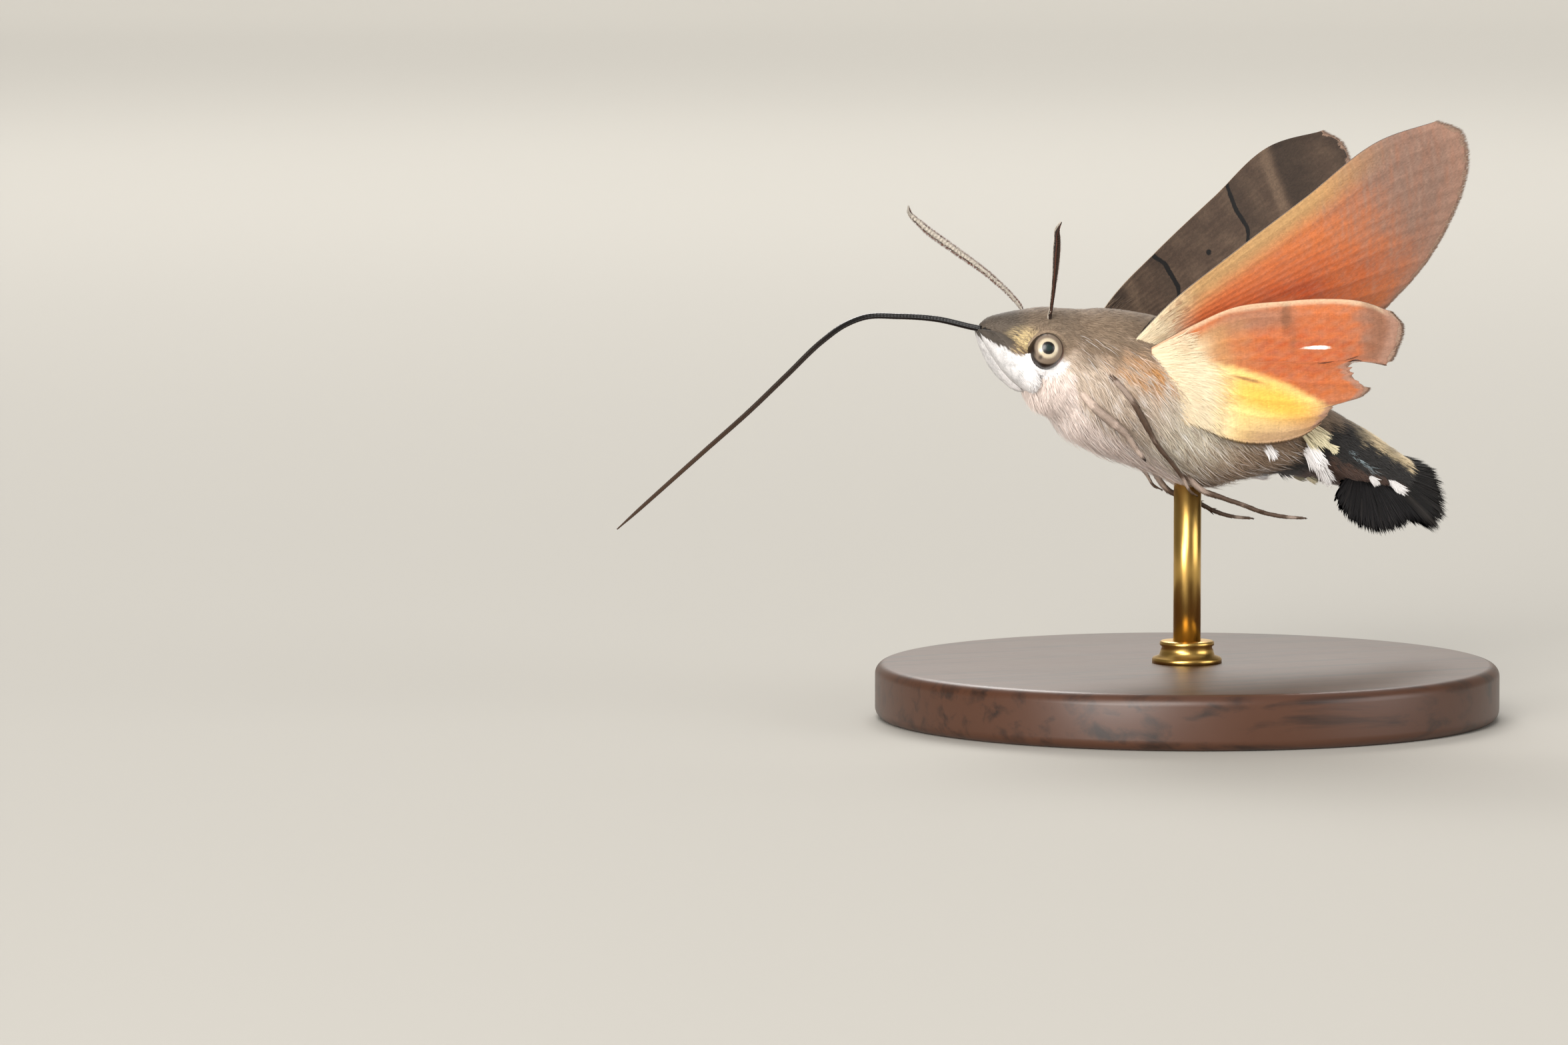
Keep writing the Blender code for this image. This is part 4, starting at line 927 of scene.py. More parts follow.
def body_locks(start, end, spacing, rng, look):
    """Return the coat's locks between two places along the body."""
    along, angle = scatter(start, end, spacing, rng)
    root, out, back, climb = body_frame(along, angle)
    away = np.stack([root[:, 0], np.abs(root[:, 1]), root[:, 2]], -1) - EYE_CENTRE
    reach = np.linalg.norm(away, axis=1)
    keep = reach > EYE_RADIUS + 0.03
    along, angle, root, out, back, climb, away, reach = (
        part[keep] for part in (along, angle, root, out, back, climb, away, reach)
    )
    level = np.cos(np.radians(fold(angle)))
    arc = np.radians(fold(angle)) * smooth_value(BODY_STATIONS, along, 3)
    droop = np.radians(smooth_value(COAT_STATIONS, along, 6)) * level
    droop = droop + 0.20 * ripple(along, arc, 1.3, 34) * level * fade(along, -4.5, -1.0)
    lie = drooping(back, climb, droop)
    away[:, 1] *= np.sign(root[:, 1] + 1e-9)
    near = spot(reach, 1.45, 0.15)[:, None]
    lie = unit(lie * (1 - near) + (lie + 1.6 * unit(away)) * near)
    length = coat_length(along, angle) * rng.uniform(0.7, 1.15, len(along)) * (1 - 0.45 * near[:, 0])
    width = smooth_value(COAT_STATIONS, along, 4) * rng.uniform(0.75, 1.3, len(along))
    rise = smooth_value(COAT_STATIONS, along, 5) * rng.uniform(0.75, 1.25, len(along))
    locks = grow_locks(root - out * 0.03, out, lie, length, width, rise, rng)
    tint = socket_tint(coat_tint(along, angle, look), root, look)
    return finish_locks(locks, tint, *body_spots(along, angle, start, end, 0.005))


def stray_locks(count, rng, look):
    """Return long loose strands of cream and brown that lift off the flanks and the belly."""
    along = rng.uniform(-3.6, 10.0, count)
    angle = rng.uniform(-100.0, 34.0, count)
    angle = np.where(rng.random(count) < 0.5, angle, 180.0 - angle)
    root, out, back, climb = body_frame(along, angle)
    droop = np.radians(smooth_value(COAT_STATIONS, along, 6) + rng.normal(0.0, 9.0, count))
    lie = drooping(back, climb, droop * np.cos(np.radians(fold(angle))))
    length = coat_length(along, angle) * rng.uniform(1.1, 1.55, count)
    width = 0.042 * rng.uniform(0.8, 1.2, count)
    locks = grow_locks(root, out, lie, length, width, rng.uniform(16, 25, count), rng, 3, settle=-8.0,
                       sway=0.12, profile=(1.0, 0.9, 0.6))
    tint = coat_tint(along, angle, look)
    kind = rng.random(count)
    tint = mix(tint, look.flank_streak, (kind < 0.28) * 0.6 * fade(along, -3.0, 1.0))
    tint = mix(tint, look.tuft_white, (kind > 0.62) * 0.35)
    return finish_locks(locks, tint, (along + 4.0) / 15.0, np.mod(angle, 360.0) / 360.0)


def build_coat(moth):
    """Grow the coat on head, thorax and abdomen, in pieces of bounded size."""
    rng = np.random.default_rng(11)
    look = moth.coat
    fur = coat_material("coat of fine hair", 0.66, 1.10, 0.34, Sheen_Weight=0.2)
    head, body = look.head_spacing / MM, look.body_spacing / MM
    for name, start, end, spacing in (
        ("head", SNOUT, -3.6, head),
        ("collar", -3.75, -1.4, body),
        ("thorax", -1.4, 1.3, body),
        ("wing_belt", 1.3, 4.2, body * 1.02),
        ("waist", 4.2, 7.2, body * 1.06),
        ("abdomen", 7.2, 10.8, body * 1.12),
        ("hind", 10.8, 14.8, body * 1.15),
        ("tail_rings", 14.8, 18.5, body * 1.15),
    ):
        slot = "hind_coat" if start > 7 else "fur"
        lock_piece("coat_" + name, [body_locks(start, end, spacing, rng, look)], fur, slot)
    lock_piece("coat_strands", [stray_locks(2400, rng, look)], fur, "fur")


def palp_surface(along, angle, side, lift=0.0):
    """Return points on a palp; angle runs round it from its outer side over the top."""
    top, bottom, half = columns(PALP_STATIONS, along)
    wide = np.maximum(half - PALP_COAT + lift, 0.03)
    high = np.maximum((top - bottom) / 2 - PALP_COAT + lift, 0.03)
    turn = np.radians(angle)
    rise = np.sin(turn)
    inner = np.cos(turn) < 0
    rise = np.where(inner, np.sign(rise) * np.abs(rise) ** 0.35, rise)
    wide = np.where(inner, wide + PALP_OVERLAP, wide)
    return np.stack([along, side * (half + wide * np.cos(turn)), (top + bottom) / 2 + high * rise], axis=-1)


def palp_tint(along, angle, look):
    """Return the colours of a palp: white below, dark like the snout along its top."""
    over = fold(angle) - smooth_value(PALP_DARK, along) + 6 * ripple(along, angle / 25, 0.5, 4)
    golden = fade(ripple(along, angle / 20, 0.45, 6), 0.1, 0.8) * fade(along, -6.9, -6.5)
    top = layered(look.snout, len(along), (look.back, fade(along, -7.0, -6.4)), (look.cheek, golden * 0.8))
    return layered(look.tuft_white, len(along), (top, fade(over, -5, 6)))


def palp_places(spacing, rng):
    """Return evenly spread, jittered places (along, angle) on a palp."""
    alongs, angles = [], []
    for along in np.arange(PALP_STATIONS[0][0], PALP_STATIONS[-1][0], spacing):
        girth = math.tau * smooth_value(PALP_STATIONS, along, 3)
        count = max(6, int(girth * 1.15 / spacing))
        angles.append((np.arange(count) + rng.uniform(-0.4, 0.4, count)) * 360.0 / count)
        alongs.append(along + rng.uniform(-0.4, 0.4, count) * spacing)
    return np.concatenate(alongs), np.concatenate(angles)


def build_palps(moth):
    """Build the two palps with their close white scales."""
    rng = np.random.default_rng(23)
    look = moth.coat
    start, end = PALP_STATIONS[0][0], PALP_STATIONS[-1][0]
    white = coat_material("white palp scales", 0.95, 1.15, 0.14, Sheen_Weight=0.2)
    skin = bpy.data.materials["skin under the coat"]
    for word, side in SIDES:
        along, angle = np.meshgrid(np.linspace(start, end, 60), np.arange(48) * 7.5, indexing="ij")
        points, faces = closed_tube(palp_surface(along, angle, side))
        along, angle = along.ravel(), angle.ravel()
        spots = np.stack(body_spots(along, angle, start, end, 0.01), -1)
        tint = with_ends(palp_tint(along, angle, look))
        make_piece("palp_skin_" + word, points, faces, [skin], {"tint": tint}, with_ends(spots),
                   replaced=("palp_" + word,), slot="white_scales")
        along, angle = palp_places(look.head_spacing / MM * 0.95, rng)
        count = len(along)
        root = palp_surface(along, angle, side)
        back = unit(palp_surface(along + 0.02, angle, side) - palp_surface(along - 0.02, angle, side))
        out = unit(palp_surface(along, angle, side, 0.05) - root)
        lie = unit(back + np.array((0.25, 0.0, -0.25)))
        length = smooth_value(((-8.3, 0.22), (-7.5, 0.32), (-5.5, 0.48), (-4.5, 0.55)), along)
        length = length * rng.uniform(0.75, 1.15, count)
        locks = grow_locks(root - out * 0.02, out, lie, length, 0.048 * rng.uniform(0.8, 1.3, count),
                           rng.uniform(12, 24, count), rng)
        finish_locks(locks, palp_tint(along, angle, look), *body_spots(along, angle, start, end, 0.005))
        lock_piece("palp_scales_" + word, [locks], white, "white_scales")


def eye_material(look):
    """Return the material of the eye: pupil, rings and rim by angle from the pupil."""
    material, tree, shader = new_material("compound eye", 0.30, Coat_Weight=0.25, Coat_Roughness=0.18)
    place_at = object_place(tree)
    shift = maths(tree, "SUBTRACT", noise(tree, 900.0, 3.0, Vector=place_at), 0.5)
    where = maths(tree, "MULTIPLY_ADD", shift, 0.03, attribute(tree, "from_pupil"))
    field = ramp(tree, where, (
        (0.0, look.pupil), (0.050, look.pupil), (0.066, look.pupil_ring), (0.106, look.pupil_ring),
        (0.120, look.eye_ring), (0.160, look.eye_ring), (0.205, look.eye_field), (0.29, look.eye_field),
        (0.325, look.eye_rim), (0.5, look.eye_rim),
    ))
    front = blend(tree, attribute(tree, "crescent"), field, look.eye_rim[:])
    rear = blend(tree, attribute(tree, "rear_rim"), front, look.eye_rear[:])
    facets = node(tree, "ShaderNodeTexVoronoi", {"Vector": place_at, "Scale": 26000.0}).outputs["Distance"]
    feed(tree, shader, speckled(tree, rear, facets, (0.2, 1.0), (0.8, 0.86)), facets, 0.12, 0.00001)
    return material


def build_eyes(moth):
    """Build both compound eyes, each with its pupil turned the way the photo shows."""
    material = eye_material(moth.small)
    gaze = unit(np.array((-0.335, -0.93, 0.155)))
    up = unit(np.array((0.0, 0.0, 1.0)) - gaze * gaze[2])
    right = np.cross(up, gaze)
    lean, turn = np.linspace(0.0, math.pi, 66)[1:-1], np.arange(96) * math.tau / 96
    lean, turn = np.meshgrid(lean, turn, indexing="ij")
    ball = (
        gaze * np.cos(lean)[..., None]
        + right * (np.sin(lean) * np.cos(turn))[..., None]
        + up * (np.sin(lean) * np.sin(turn))[..., None]
    )
    lean = np.concatenate([lean.ravel(), [0.0, math.pi]])
    turn = np.concatenate([turn.ravel(), [0.0, 0.0]])
    flat = np.sin(lean)
    tailward, upward = flat * np.cos(turn), flat * np.sin(turn)
    arc = spot(np.abs(flat - 0.82 - 0.05 * upward), 0.11, 0.5)
    low_spot = spot(np.hypot(tailward + 0.26, upward + 0.58), 0.10, 0.6)
    top_line = spot(np.abs(flat - 0.93), 0.06, 0.6) * fade(upward, 0.0, 0.5)
    crescent = arc * fade(-tailward + 0.25 * upward, 0.25, 0.6) + low_spot * 0.7 + top_line * 0.8
    values = {"from_pupil": lean / math.pi, "crescent": np.clip(crescent, 0, 1) * (lean < 1.6),
              "rear_rim": fade(tailward, 0.6, 0.93) * fade(flat, 0.86, 0.95)}
    centre = EYE_CENTRE * np.array((1.0, -1.0, 1.0))
    for word, side in SIDES:
        points, faces = closed_tube(mirrored(centre + ball * EYE_RADIUS, side))
        make_piece("eye_ball_" + word, points, faces, [material], values, replaced=("eye_" + word,),
                   slot="eye")


def build_eye_scales(moth):
    """Grow the scales round each eye: a white crescent below it and dark bristles behind."""
    rng = np.random.default_rng(29)
    look = moth.coat
    scales = coat_material("eye scales", 0.80, 1.02, 0.16, 0.7, Sheen_Weight=0.1)
    for word, side in SIDES:
        batches = []
        for count, low, high, distance, length, width, one, other in (
            (1700, -158.0, -22.0, (1.00, 1.20), 0.17, 0.045, look.tuft_white, look.tuft_white),
            (500, 20.0, 175.0, (1.00, 1.12), 0.16, 0.04, look.back_fleck, look.back),
            (26, -52.0, -14.0, (1.16, 1.36), 0.26, 0.04, moth.small.bristle, moth.small.bristle),
        ):
            turn = np.radians(rng.uniform(low, high, count))
            reach = rng.uniform(*distance, count)
            ring = np.stack([np.cos(turn), np.zeros(count), np.sin(turn)], -1)
            along, _, up = (EYE_CENTRE + ring * reach[:, None]).T
            top, bottom, half = columns(BODY_STATIONS, along)
            level = np.clip((up - (top + bottom) / 2) / ((top - bottom) / 2), -0.98, 0.98)
            depth = COAT_SHARE * coat_length(along, np.degrees(np.arcsin(level)))
            across = np.maximum(half * np.sqrt(1 - level**2) - depth, 0.2)
            below = (np.degrees(turn) < 0) & (count > 100)
            across = np.where(below, np.maximum(across, 1.92 - 0.9 * (reach - 0.98)), across)
            out = unit(np.stack([ring[:, 0] * 0.25, np.full(count, 1.0 * side), ring[:, 2] * 0.25 - 0.1], -1))
            lie = unit(ring * 0.55 + np.array((0.75, 0.0, -0.35)))
            locks = grow_locks(np.stack([along, across * side, up], -1), out, lie,
                               length * rng.uniform(0.7, 1.2, count), width * rng.uniform(0.8, 1.2, count),
                               rng.uniform(8, 22, count), rng, 2, soft=0.5)
            tint = mix(plain(one, count), other, rng.random(count))
            batches.append(finish_locks(locks, tint, 0.5 + turn / math.tau, reach - 0.9))
        lock_piece("eye_scales_" + word, batches, scales, "fur")


def build_tongue(moth):
    """Build the tongue as one ringed tube with a groove along each side."""
    look = moth.small
    share, sides = np.linspace(0.0, 1.0, 520), 20
    path = smooth_path([(along, 0.0, up) for along, up in TONGUE_ROUTE], share)
    radii = smooth_value(TONGUE_GIRTH, share) * (1 + 0.02 * np.sin(share * math.tau * TONGUE_RINGS))
    rings = tube_rings(path, radii, sides)
    turn = np.arange(sides) * math.tau / sides
    for way in (0.0, math.pi):
        dent = np.exp(-((np.angle(np.exp(1j * (turn - way)))) / 0.30) ** 2)
        rings = rings - (rings - path[:, None, :]) * (0.22 * dent)[None, :, None]
    points, faces = closed_tube(rings)
    material, tree, shader = new_material("tongue horn", 0.24, Coat_Weight=0.35, Coat_Roughness=0.12)
    horn = ramp(tree, attribute(tree, "share"), ((0.35, look.horn), (0.8, look.horn_tip)))
    light = ramp(tree, noise(tree, 1800.0, 5.0), ((0.35, (0.7, 0.7, 0.7)), (0.7, (1.5, 1.45, 1.4))))
    feed(tree, shader, blend(tree, 1.0, horn, light, "MULTIPLY"))
    make_piece("tongue", points, faces, [material], {"share": with_ends(np.repeat(share, sides))},
               replaced=("proboscis_base", "proboscis_bend", "proboscis_shaft"), slot="horn")


def antenna_hair(side, top, ahead, rng, look):
    """Return an antenna's locks: a fringe of fine hairs on each side and pale scales along its top."""
    def shaft_at(at):
        root = mirrored(smooth_path(ANTENNA_ROUTE, at), side)
        return root, ahead[(at * (len(ahead) - 1)).astype(int)], smooth_value(ANTENNA_GIRTH, at)[:, None]

    batches = []
    count = 1100
    for sign, patch in ((-1.0, 0.2), (1.0, 0.7)):
        at = rng.uniform(0.10, 0.985, count)
        root, way, girth = shaft_at(at)
        wide = unit(np.cross(way, -top)) * sign
        lie = unit(wide * 0.9 - top * 0.55 + way * 0.35 + rng.normal(0, 0.15, (count, 3)))
        length = smooth_value(((0.0, 0.06), (0.2, 0.12), (0.75, 0.17), (1.0, 0.05)), at)
        locks = grow_locks(root + (wide * 0.75 - top * 0.35) * (girth * 0.8), unit(np.cross(way, lie)), lie,
                           length * rng.uniform(0.8, 1.2, count), 0.022, 0.0, rng, 1, soft=0.1)
        batches.append(finish_locks(locks, plain(look.feeler_hair, count), at, patch))
    count = 1500
    at = rng.uniform(0.03, 0.99, count)
    turn = rng.normal(0.0, 0.5, count)[:, None]
    root, way, girth = shaft_at(at)
    sideways = unit(np.cross(way, top))
    out = unit(unit(np.cross(sideways, way)) * np.cos(turn) + sideways * np.sin(turn))
    locks = grow_locks(root + out * (girth * 0.85), out, way, 0.16 * rng.uniform(0.7, 1.2, count), 0.045, 9.0,
                       rng, 1, settle=2.0)
    return batches + [finish_locks(locks, plain(look.feeler_scale, count), at, 0.9)]


def build_antennae(moth):
    """Build both clubbed antennae: ringed shaft, pale scales and fringes of fine hairs."""
    look = moth.small
    rng = np.random.default_rng(31)
    share = np.linspace(0.0, 1.0, 230)
    beat = np.sin(share * math.pi * ANTENNA_JOINTS) ** 2
    radii = smooth_value(ANTENNA_GIRTH, share) * (0.90 + 0.14 * beat)
    material, tree, shader = new_material("antenna shaft", 0.45)
    ringed = ramp(tree, attribute(tree, "pale"), ((0.30, look.feeler), (0.62, look.feeler_scale)))
    feed(tree, shader, speckled(tree, ringed, noise(tree, 5200.0, 4.0), (0.3, 0.62), (0.72, 1.2)))
    hair = coat_material("antenna hair", 0.8, 1.1, 0.4, 0.6)
    for word, side in SIDES:
        path = mirrored(smooth_path(ANTENNA_ROUTE, share), side)
        rings = tube_rings(path, radii, 18, 0.8)
        points, faces = closed_tube(rings)
        top = unit(np.array((-0.95, side * 0.10, 0.45)))
        facing = np.sum((rings - path[:, None]) * top, axis=-1) / np.maximum(radii, 1e-6)[:, None]
        pale = fade(facing, 0.25, 0.75) * (0.65 + 0.35 * beat[:, None])
        make_piece("feeler_" + word, points, faces, [material], {"pale": np.append(pale, (0.0, 0.0))},
                   replaced=("antenna_" + word,), slot="feeler")
        batches = antenna_hair(side, top, path_frames(path)[2], rng, look)
        lock_piece("feeler_hair_" + word, batches, hair, "feeler", even=True)


def swept_back(wing, sweep, raised):
    """Return a wing turned about its hinge towards the tail, then raised over the back."""
    span, chord = np.asarray(wing["span"]), np.asarray(wing["chord"])
    turn, lift = math.radians(sweep), math.radians(-raised)
    roll = np.array(((1, 0, 0), (0, math.cos(lift), -math.sin(lift)), (0, math.sin(lift), math.cos(lift))))
    turned = dict(wing)
    turned["span"] = roll @ (span * math.cos(turn) + chord * math.sin(turn))
    turned["chord"] = roll @ (chord * math.cos(turn) - span * math.sin(turn))
    return turned


def wing_flat(wing, u, v):
    """Return flat places (span, chord) at u across the wing and v along it."""
    costa, inner = smooth_path(wing["costa"], v), smooth_path(wing["inner"], v)
    margin = smooth_path(wing["margin"], u)
    lead, trail = np.asarray(wing["costa"][0]), np.asarray(wing["inner"][0])
    tip, corner = np.asarray(wing["costa"][-1]), np.asarray(wing["inner"][-1])
    u, v = u[..., None], v[..., None]
    ruled = costa * (1 - u) + inner * u + (lead * (1 - u) + trail * u) * (1 - v) + margin * v
    return ruled - ((lead * (1 - v) + tip * v) * (1 - u) + (trail * (1 - v) + corner * v) * u)


def wing_points(wing, u, v, rise, side):
    """Return points of the wing at (u, v), rise out of its underside, and their flat places."""
    flat = wing_flat(wing, u, v)
    hinge, span, chord = (np.asarray(wing[key], float) for key in ("hinge", "span", "chord"))
    downward = unit(np.cross(chord, span))
    lift = wing["camber"] * np.sin(math.pi * np.clip(u, 0, 1)) * np.sin(math.pi * np.minimum(v, 0.85) / 1.7)
    lift = lift - wing["tip_bend"] * v**3 + rise
    points = hinge + flat[..., 0:1] * span + flat[..., 1:2] * chord + lift[..., None] * downward
    return mirrored(points, side), flat


def vein_places(wing, v):
    """Return where each vein runs across the wing, for places along it."""
    fork = wing["fork"]
    places = []
    for root, middle, margin in wing["veins"]:
        inner = root + (middle - root) * v / fork
        outer = middle + (margin - middle) * (v - fork) / (1 - fork)
        places.append(np.where(v < fork, inner, outer))
    return places


def forewing_under(flat, v, look):
    """Return the colours of the forewing's underside."""
    span, chord = flat[:, 0], flat[:, 1]
    blotch = ripple(span * 0.7, chord, 2.0, 13)
    streak = ripple(span * 0.25, chord, 0.30, 14)
    slant = ripple(span * 0.9 + chord * 0.35, chord * 0.2, 0.5, 15) * fade(span, 7.0, 13.0)
    edge = chord - smooth_value(FOREWING["costa"], span)
    deep = spot(np.hypot((span - 6.6) / 5.2, (chord - 1.4 - 0.18 * span) / 2.0), 1.0, 0.85)
    tip = fade(span + 0.35 * blotch + 0.25 * streak - 0.22 * chord, 9.8, 16.0)
    near_hinge = spot(np.hypot((span - 1.5) / 1.7, (edge - 0.6) / 0.6), 1.0)
    return layered(
        look.under_orange, len(span),
        (look.under_deep, deep * (0.85 + 0.15 * blotch)),
        (look.under_margin, (0.10 + 0.10 * streak + 0.14 * slant) * fade(span, 1.0, 9.0)),
        (look.under_tip, tip * (0.92 + 0.08 * slant)),
        (look.under_margin, tip * fade(slant, 0.2, 1.4) * 0.5),
        (look.under_margin, fade((1 - v) * FORE_LENGTH, 1.6, 0.2) * 0.55),
        (look.under_costa, fade(edge + 0.06 * streak, 1.75, 0.35) * fade(span, 17.0, 10.5)),
        (look.under_base, fade(span + 0.45 * chord, 3.4, -0.6)),
        (look.mark, fade(ripple(span, chord, 0.55, 21), 0.0, 0.7) * near_hinge * 0.55),
    )


def forewing_lines(flat):
    """Return the distance to the nearest black cross line of the forewing's upper side."""
    span, chord = flat[:, 0], flat[:, 1]
    inner = np.abs(span - smooth_value(INNER_LINE, chord))
    outer = np.abs(span - smooth_value(OUTER_LINE, chord)) + 0.02
    dot = np.hypot(span - 8.9, chord - 0.3) * 0.9
    return np.minimum(np.minimum(inner, outer), dot)


def forewing_upper(flat, v, look):
    """Return the colours of the forewing's upper side."""
    span, chord = flat[:, 0], flat[:, 1]
    cloud = ripple(span, chord, 2.2, 41)
    streak = ripple(span * 0.3, chord, 0.35, 42)
    inside = span - smooth_value(INNER_LINE, chord)
    outside = smooth_value(OUTER_LINE, chord) - span
    late = span + 0.22 * chord
    return layered(
        look.upper_grey, len(span),
        (look.upper_pale, 0.18 + 0.16 * cloud + 0.10 * streak),
        (look.upper_dark, fade(span, 4.6, 1.5) * 0.55),
        (look.upper_pale, spot(np.abs(span - 2.9 + 0.3 * cloud), 0.5, 0.6) * 0.7),
        (look.upper_dark, np.where(inside < 0, fade(inside, -1.6, 0.0), 0) * 0.45),
        (look.upper_dark, np.where(outside < 0, fade(outside, -2.4, 0.0), 0) * 0.45),
        (look.upper_dark, fade(late, 15.1, 15.6) * fade(late, 19.4, 16.4) * 0.75),
        (look.upper_pale, spot(np.abs(late - 14.8), 0.32, 0.6) * fade(chord, 2.5, 0.2) * 0.9),
        (look.upper_dark, fade((1 - v) * FORE_LENGTH, 1.5, 0.2) * 0.5),
    )


def hindwing_slash(flat):
    """Return the distance to the pale slash of the hindwing's underside, scaled to its edge."""
    run = flat[:, 0] - 7.95
    drop = flat[:, 1] - 0.72 - 0.06 * run - 0.05 * run**2
    return np.hypot(run / 0.80, drop / (0.10 + 0.03 * run)) * 0.16


def hindwing_fold(flat):
    """Return how far below the hindwing's fold a place lies; the fold runs slantwise to the torn bay."""
    return flat[:, 1] - smooth_value(HIND_FOLD, flat[:, 0])


def hindwing_under(flat, v, look):
    """Return the colours of the hindwing's underside."""
    span, chord = flat[:, 0], flat[:, 1]
    blotch = ripple(span, chord, 1.5, 51)
    streak = ripple(span * 0.35, chord, 0.32, 52)
    flame = ripple(span * 0.5 + chord * 0.3, chord, 0.6, 53)
    edge = chord - smooth_value(HINDWING["costa"], span)
    low_edge = chord - smooth_value(HINDWING["inner"], span)
    below = hindwing_fold(flat) + 0.05 * flame
    deep = spot(np.hypot((span - 7.2) / 3.4, (chord - 1.0) / 1.7), 1.0, 0.8)
    mark = spot(np.hypot((span - 6.5 + 0.08 * flame + 0.1 * edge) / 0.28, (edge - 0.75) / 0.85), 1.0, 0.6)
    mark_end = spot(np.hypot((span - 6.75 + 0.1 * flame) / 0.2, (edge - 1.9) / 0.9), 1.0, 0.7)
    dash = np.hypot((span - 4.15) / 0.85, (chord - 2.18 - 0.34 * (span - 4.15)) / 0.10)
    band = spot(np.abs((1 - v) * HIND_LENGTH - 1.1 + 0.1 * streak), 0.35, 0.7)
    return layered(
        look.under_orange, len(span),
        (look.under_deep, deep * (0.36 + 0.44 * fade(flame, -0.6, 1.0))),
        (look.under_margin, 0.12 + 0.10 * streak),
        (look.mauve, spot(np.hypot((span - 4.6) / 2.3, (edge - 0.8) / 0.6), 1.0, 0.6) * 0.7),
        (look.under_costa, fade(span + 0.2 * blotch, 5.2, 1.6) * 0.8 * fade(edge, 0.3, 1.0)),
        (look.straw, fade(below, -0.22, 0.30)),
        (look.golden, spot(np.hypot((span - 5.7) / 2.9, (below - 1.25) / 0.95), 1.0, 0.75)),
        (look.under_margin, fade(low_edge, -1.7, -0.2) * fade(span, 2.0, 5.0) * 0.72),
        (look.under_base, fade(span - 1.1 * fade(below, -0.3, 0.5), 2.9, 0.6) * fade(edge, 0.4, 1.5)),
        (look.corner, fade(span + 0.3 * blotch + 0.15 * streak, 9.2, 11.3) * fade(chord, 2.6, 1.4)),
        (look.mark, mark * 0.85),
        (look.mark, mark_end * 0.4),
        (look.mark, spot(dash, 1.0, 0.6) * 0.75),
        (look.under_base, fade(edge, 0.34, 0.12) * 0.45),
        (look.mark, band * fade(chord, 2.6, 0.8) * 0.5),
        (look.under_margin, fade((1 - v) * HIND_LENGTH, 0.75, 0.35) * 0.8),
    )


def hindwing_upper(flat, v, look):
    """Return the colours of the hindwing's upper side."""
    span, chord = flat[:, 0], flat[:, 1]
    blotch = ripple(span, chord, 1.8, 61)
    return layered(
        look.upper_orange, len(span),
        (look.under_deep, 0.25 + 0.2 * blotch),
        (look.upper_dark, fade(span, 3.0, 0.5) * 0.8),
        (look.upper_dark, fade((1 - v) * HIND_LENGTH + 0.3 * blotch, 2.4, 0.9) * 0.85),
    )


def torn_places(u, reach):
    """Return the places of a wing's grid with the torn bay in its margin."""
    left = smooth_value(TORN_EDGE, u)
    jag = 1.0 + 0.012 * ripple(u * 60, u * 0, 1.2, 77) * (left < 0.995)
    reach = reach * left * jag
    near_bay = np.exp(-(((u - 0.40) / 0.09) ** 2))
    arch, tip = (np.exp(-(((reach - at) / width) ** 2)) for at, width in ((0.88, 0.045), (0.985, 0.03)))
    return u + near_bay * (0.028 * tip - 0.042 * arch), reach


def wing_surface(name, wing, side, paints, materials, look, torn, **marks):
    """Build one wing: both scaled faces with raised veins, closed at the rim."""
    wide, long = wing["grid"]
    size = wide * long
    u, v = np.meshgrid(np.linspace(0.0, 1.0, wide), np.linspace(0.0, 1.0, long), indexing="ij")
    reach = v * WING_INSET
    if torn:
        u, reach = torn_places(u, reach)
    across = wing_flat(wing, np.ones_like(u), reach) - wing_flat(wing, np.zeros_like(u), reach)
    chord = np.linalg.norm(across, axis=-1)
    nearest = np.stack([np.abs(u - at) * chord for at in vein_places(wing, reach)]).min(axis=0)
    ridge = 0.030 * np.exp(-((nearest / VEIN_SPREAD) ** 2)) * (1 - 0.65 * v)
    costa_ridge = 0.07 * np.exp(-((u * chord / 0.16) ** 2)) * (1 - 0.6 * v)
    pleat = 0.016 * np.cos(np.clip(nearest, 0, 0.4) / 0.4 * math.pi) * fade(v, 0.1, 0.5)
    edge = np.minimum(np.minimum(u, 1 - u) * chord, (1 - v) * 12.0)
    thin = 0.012 + 0.03 * fade(edge, 0.0, 0.3)
    under, flat = wing_points(wing, u, reach, pleat + thin + ridge + costa_ridge, side)
    upper, _ = wing_points(wing, u, reach, pleat - thin - ridge - costa_ridge, side)
    points = np.concatenate([under.reshape(-1, 3), upper.reshape(-1, 3)])
    top = grid_faces(wide, long, False, flip=side < 0)
    bottom = grid_faces(wide, long, False, flip=side > 0) + size
    index = np.arange(size).reshape(wide, long)
    rim = np.concatenate([index[0, :-1], index[:-1, -1], index[-1, :0:-1], index[:0:-1, 0]])
    after = np.roll(rim, -1)
    strip = np.stack([rim, after, after + size, rim + size], -1)
    if side > 0:
        strip = strip[:, ::-1]
    flat = flat.reshape(-1, 2)
    vein = np.exp(-((nearest.ravel() / (VEIN_SPREAD * 1.3)) ** 2))[:, None]
    tints = [paint(flat, v.ravel(), look) * (1 + 0.12 * vein) for paint in paints]
    no_line = np.ones(size)
    gaps = [hindwing_slash(flat), no_line] if wing is HINDWING else [no_line, forewing_lines(flat)]
    place_at = np.concatenate([flat, np.zeros((size, 1))], axis=1)
    looks = np.concatenate([np.zeros(len(top)), np.ones(len(bottom)), np.zeros(len(strip))])
    values = {"tint": np.clip(np.concatenate(tints), 0, 1),
              "flat_place": np.concatenate([place_at, place_at + 7.0]), "line_gap": np.concatenate(gaps)}
    make_piece(name, points, [np.concatenate([top, bottom, strip])], materials, values, looks=looks, **marks)


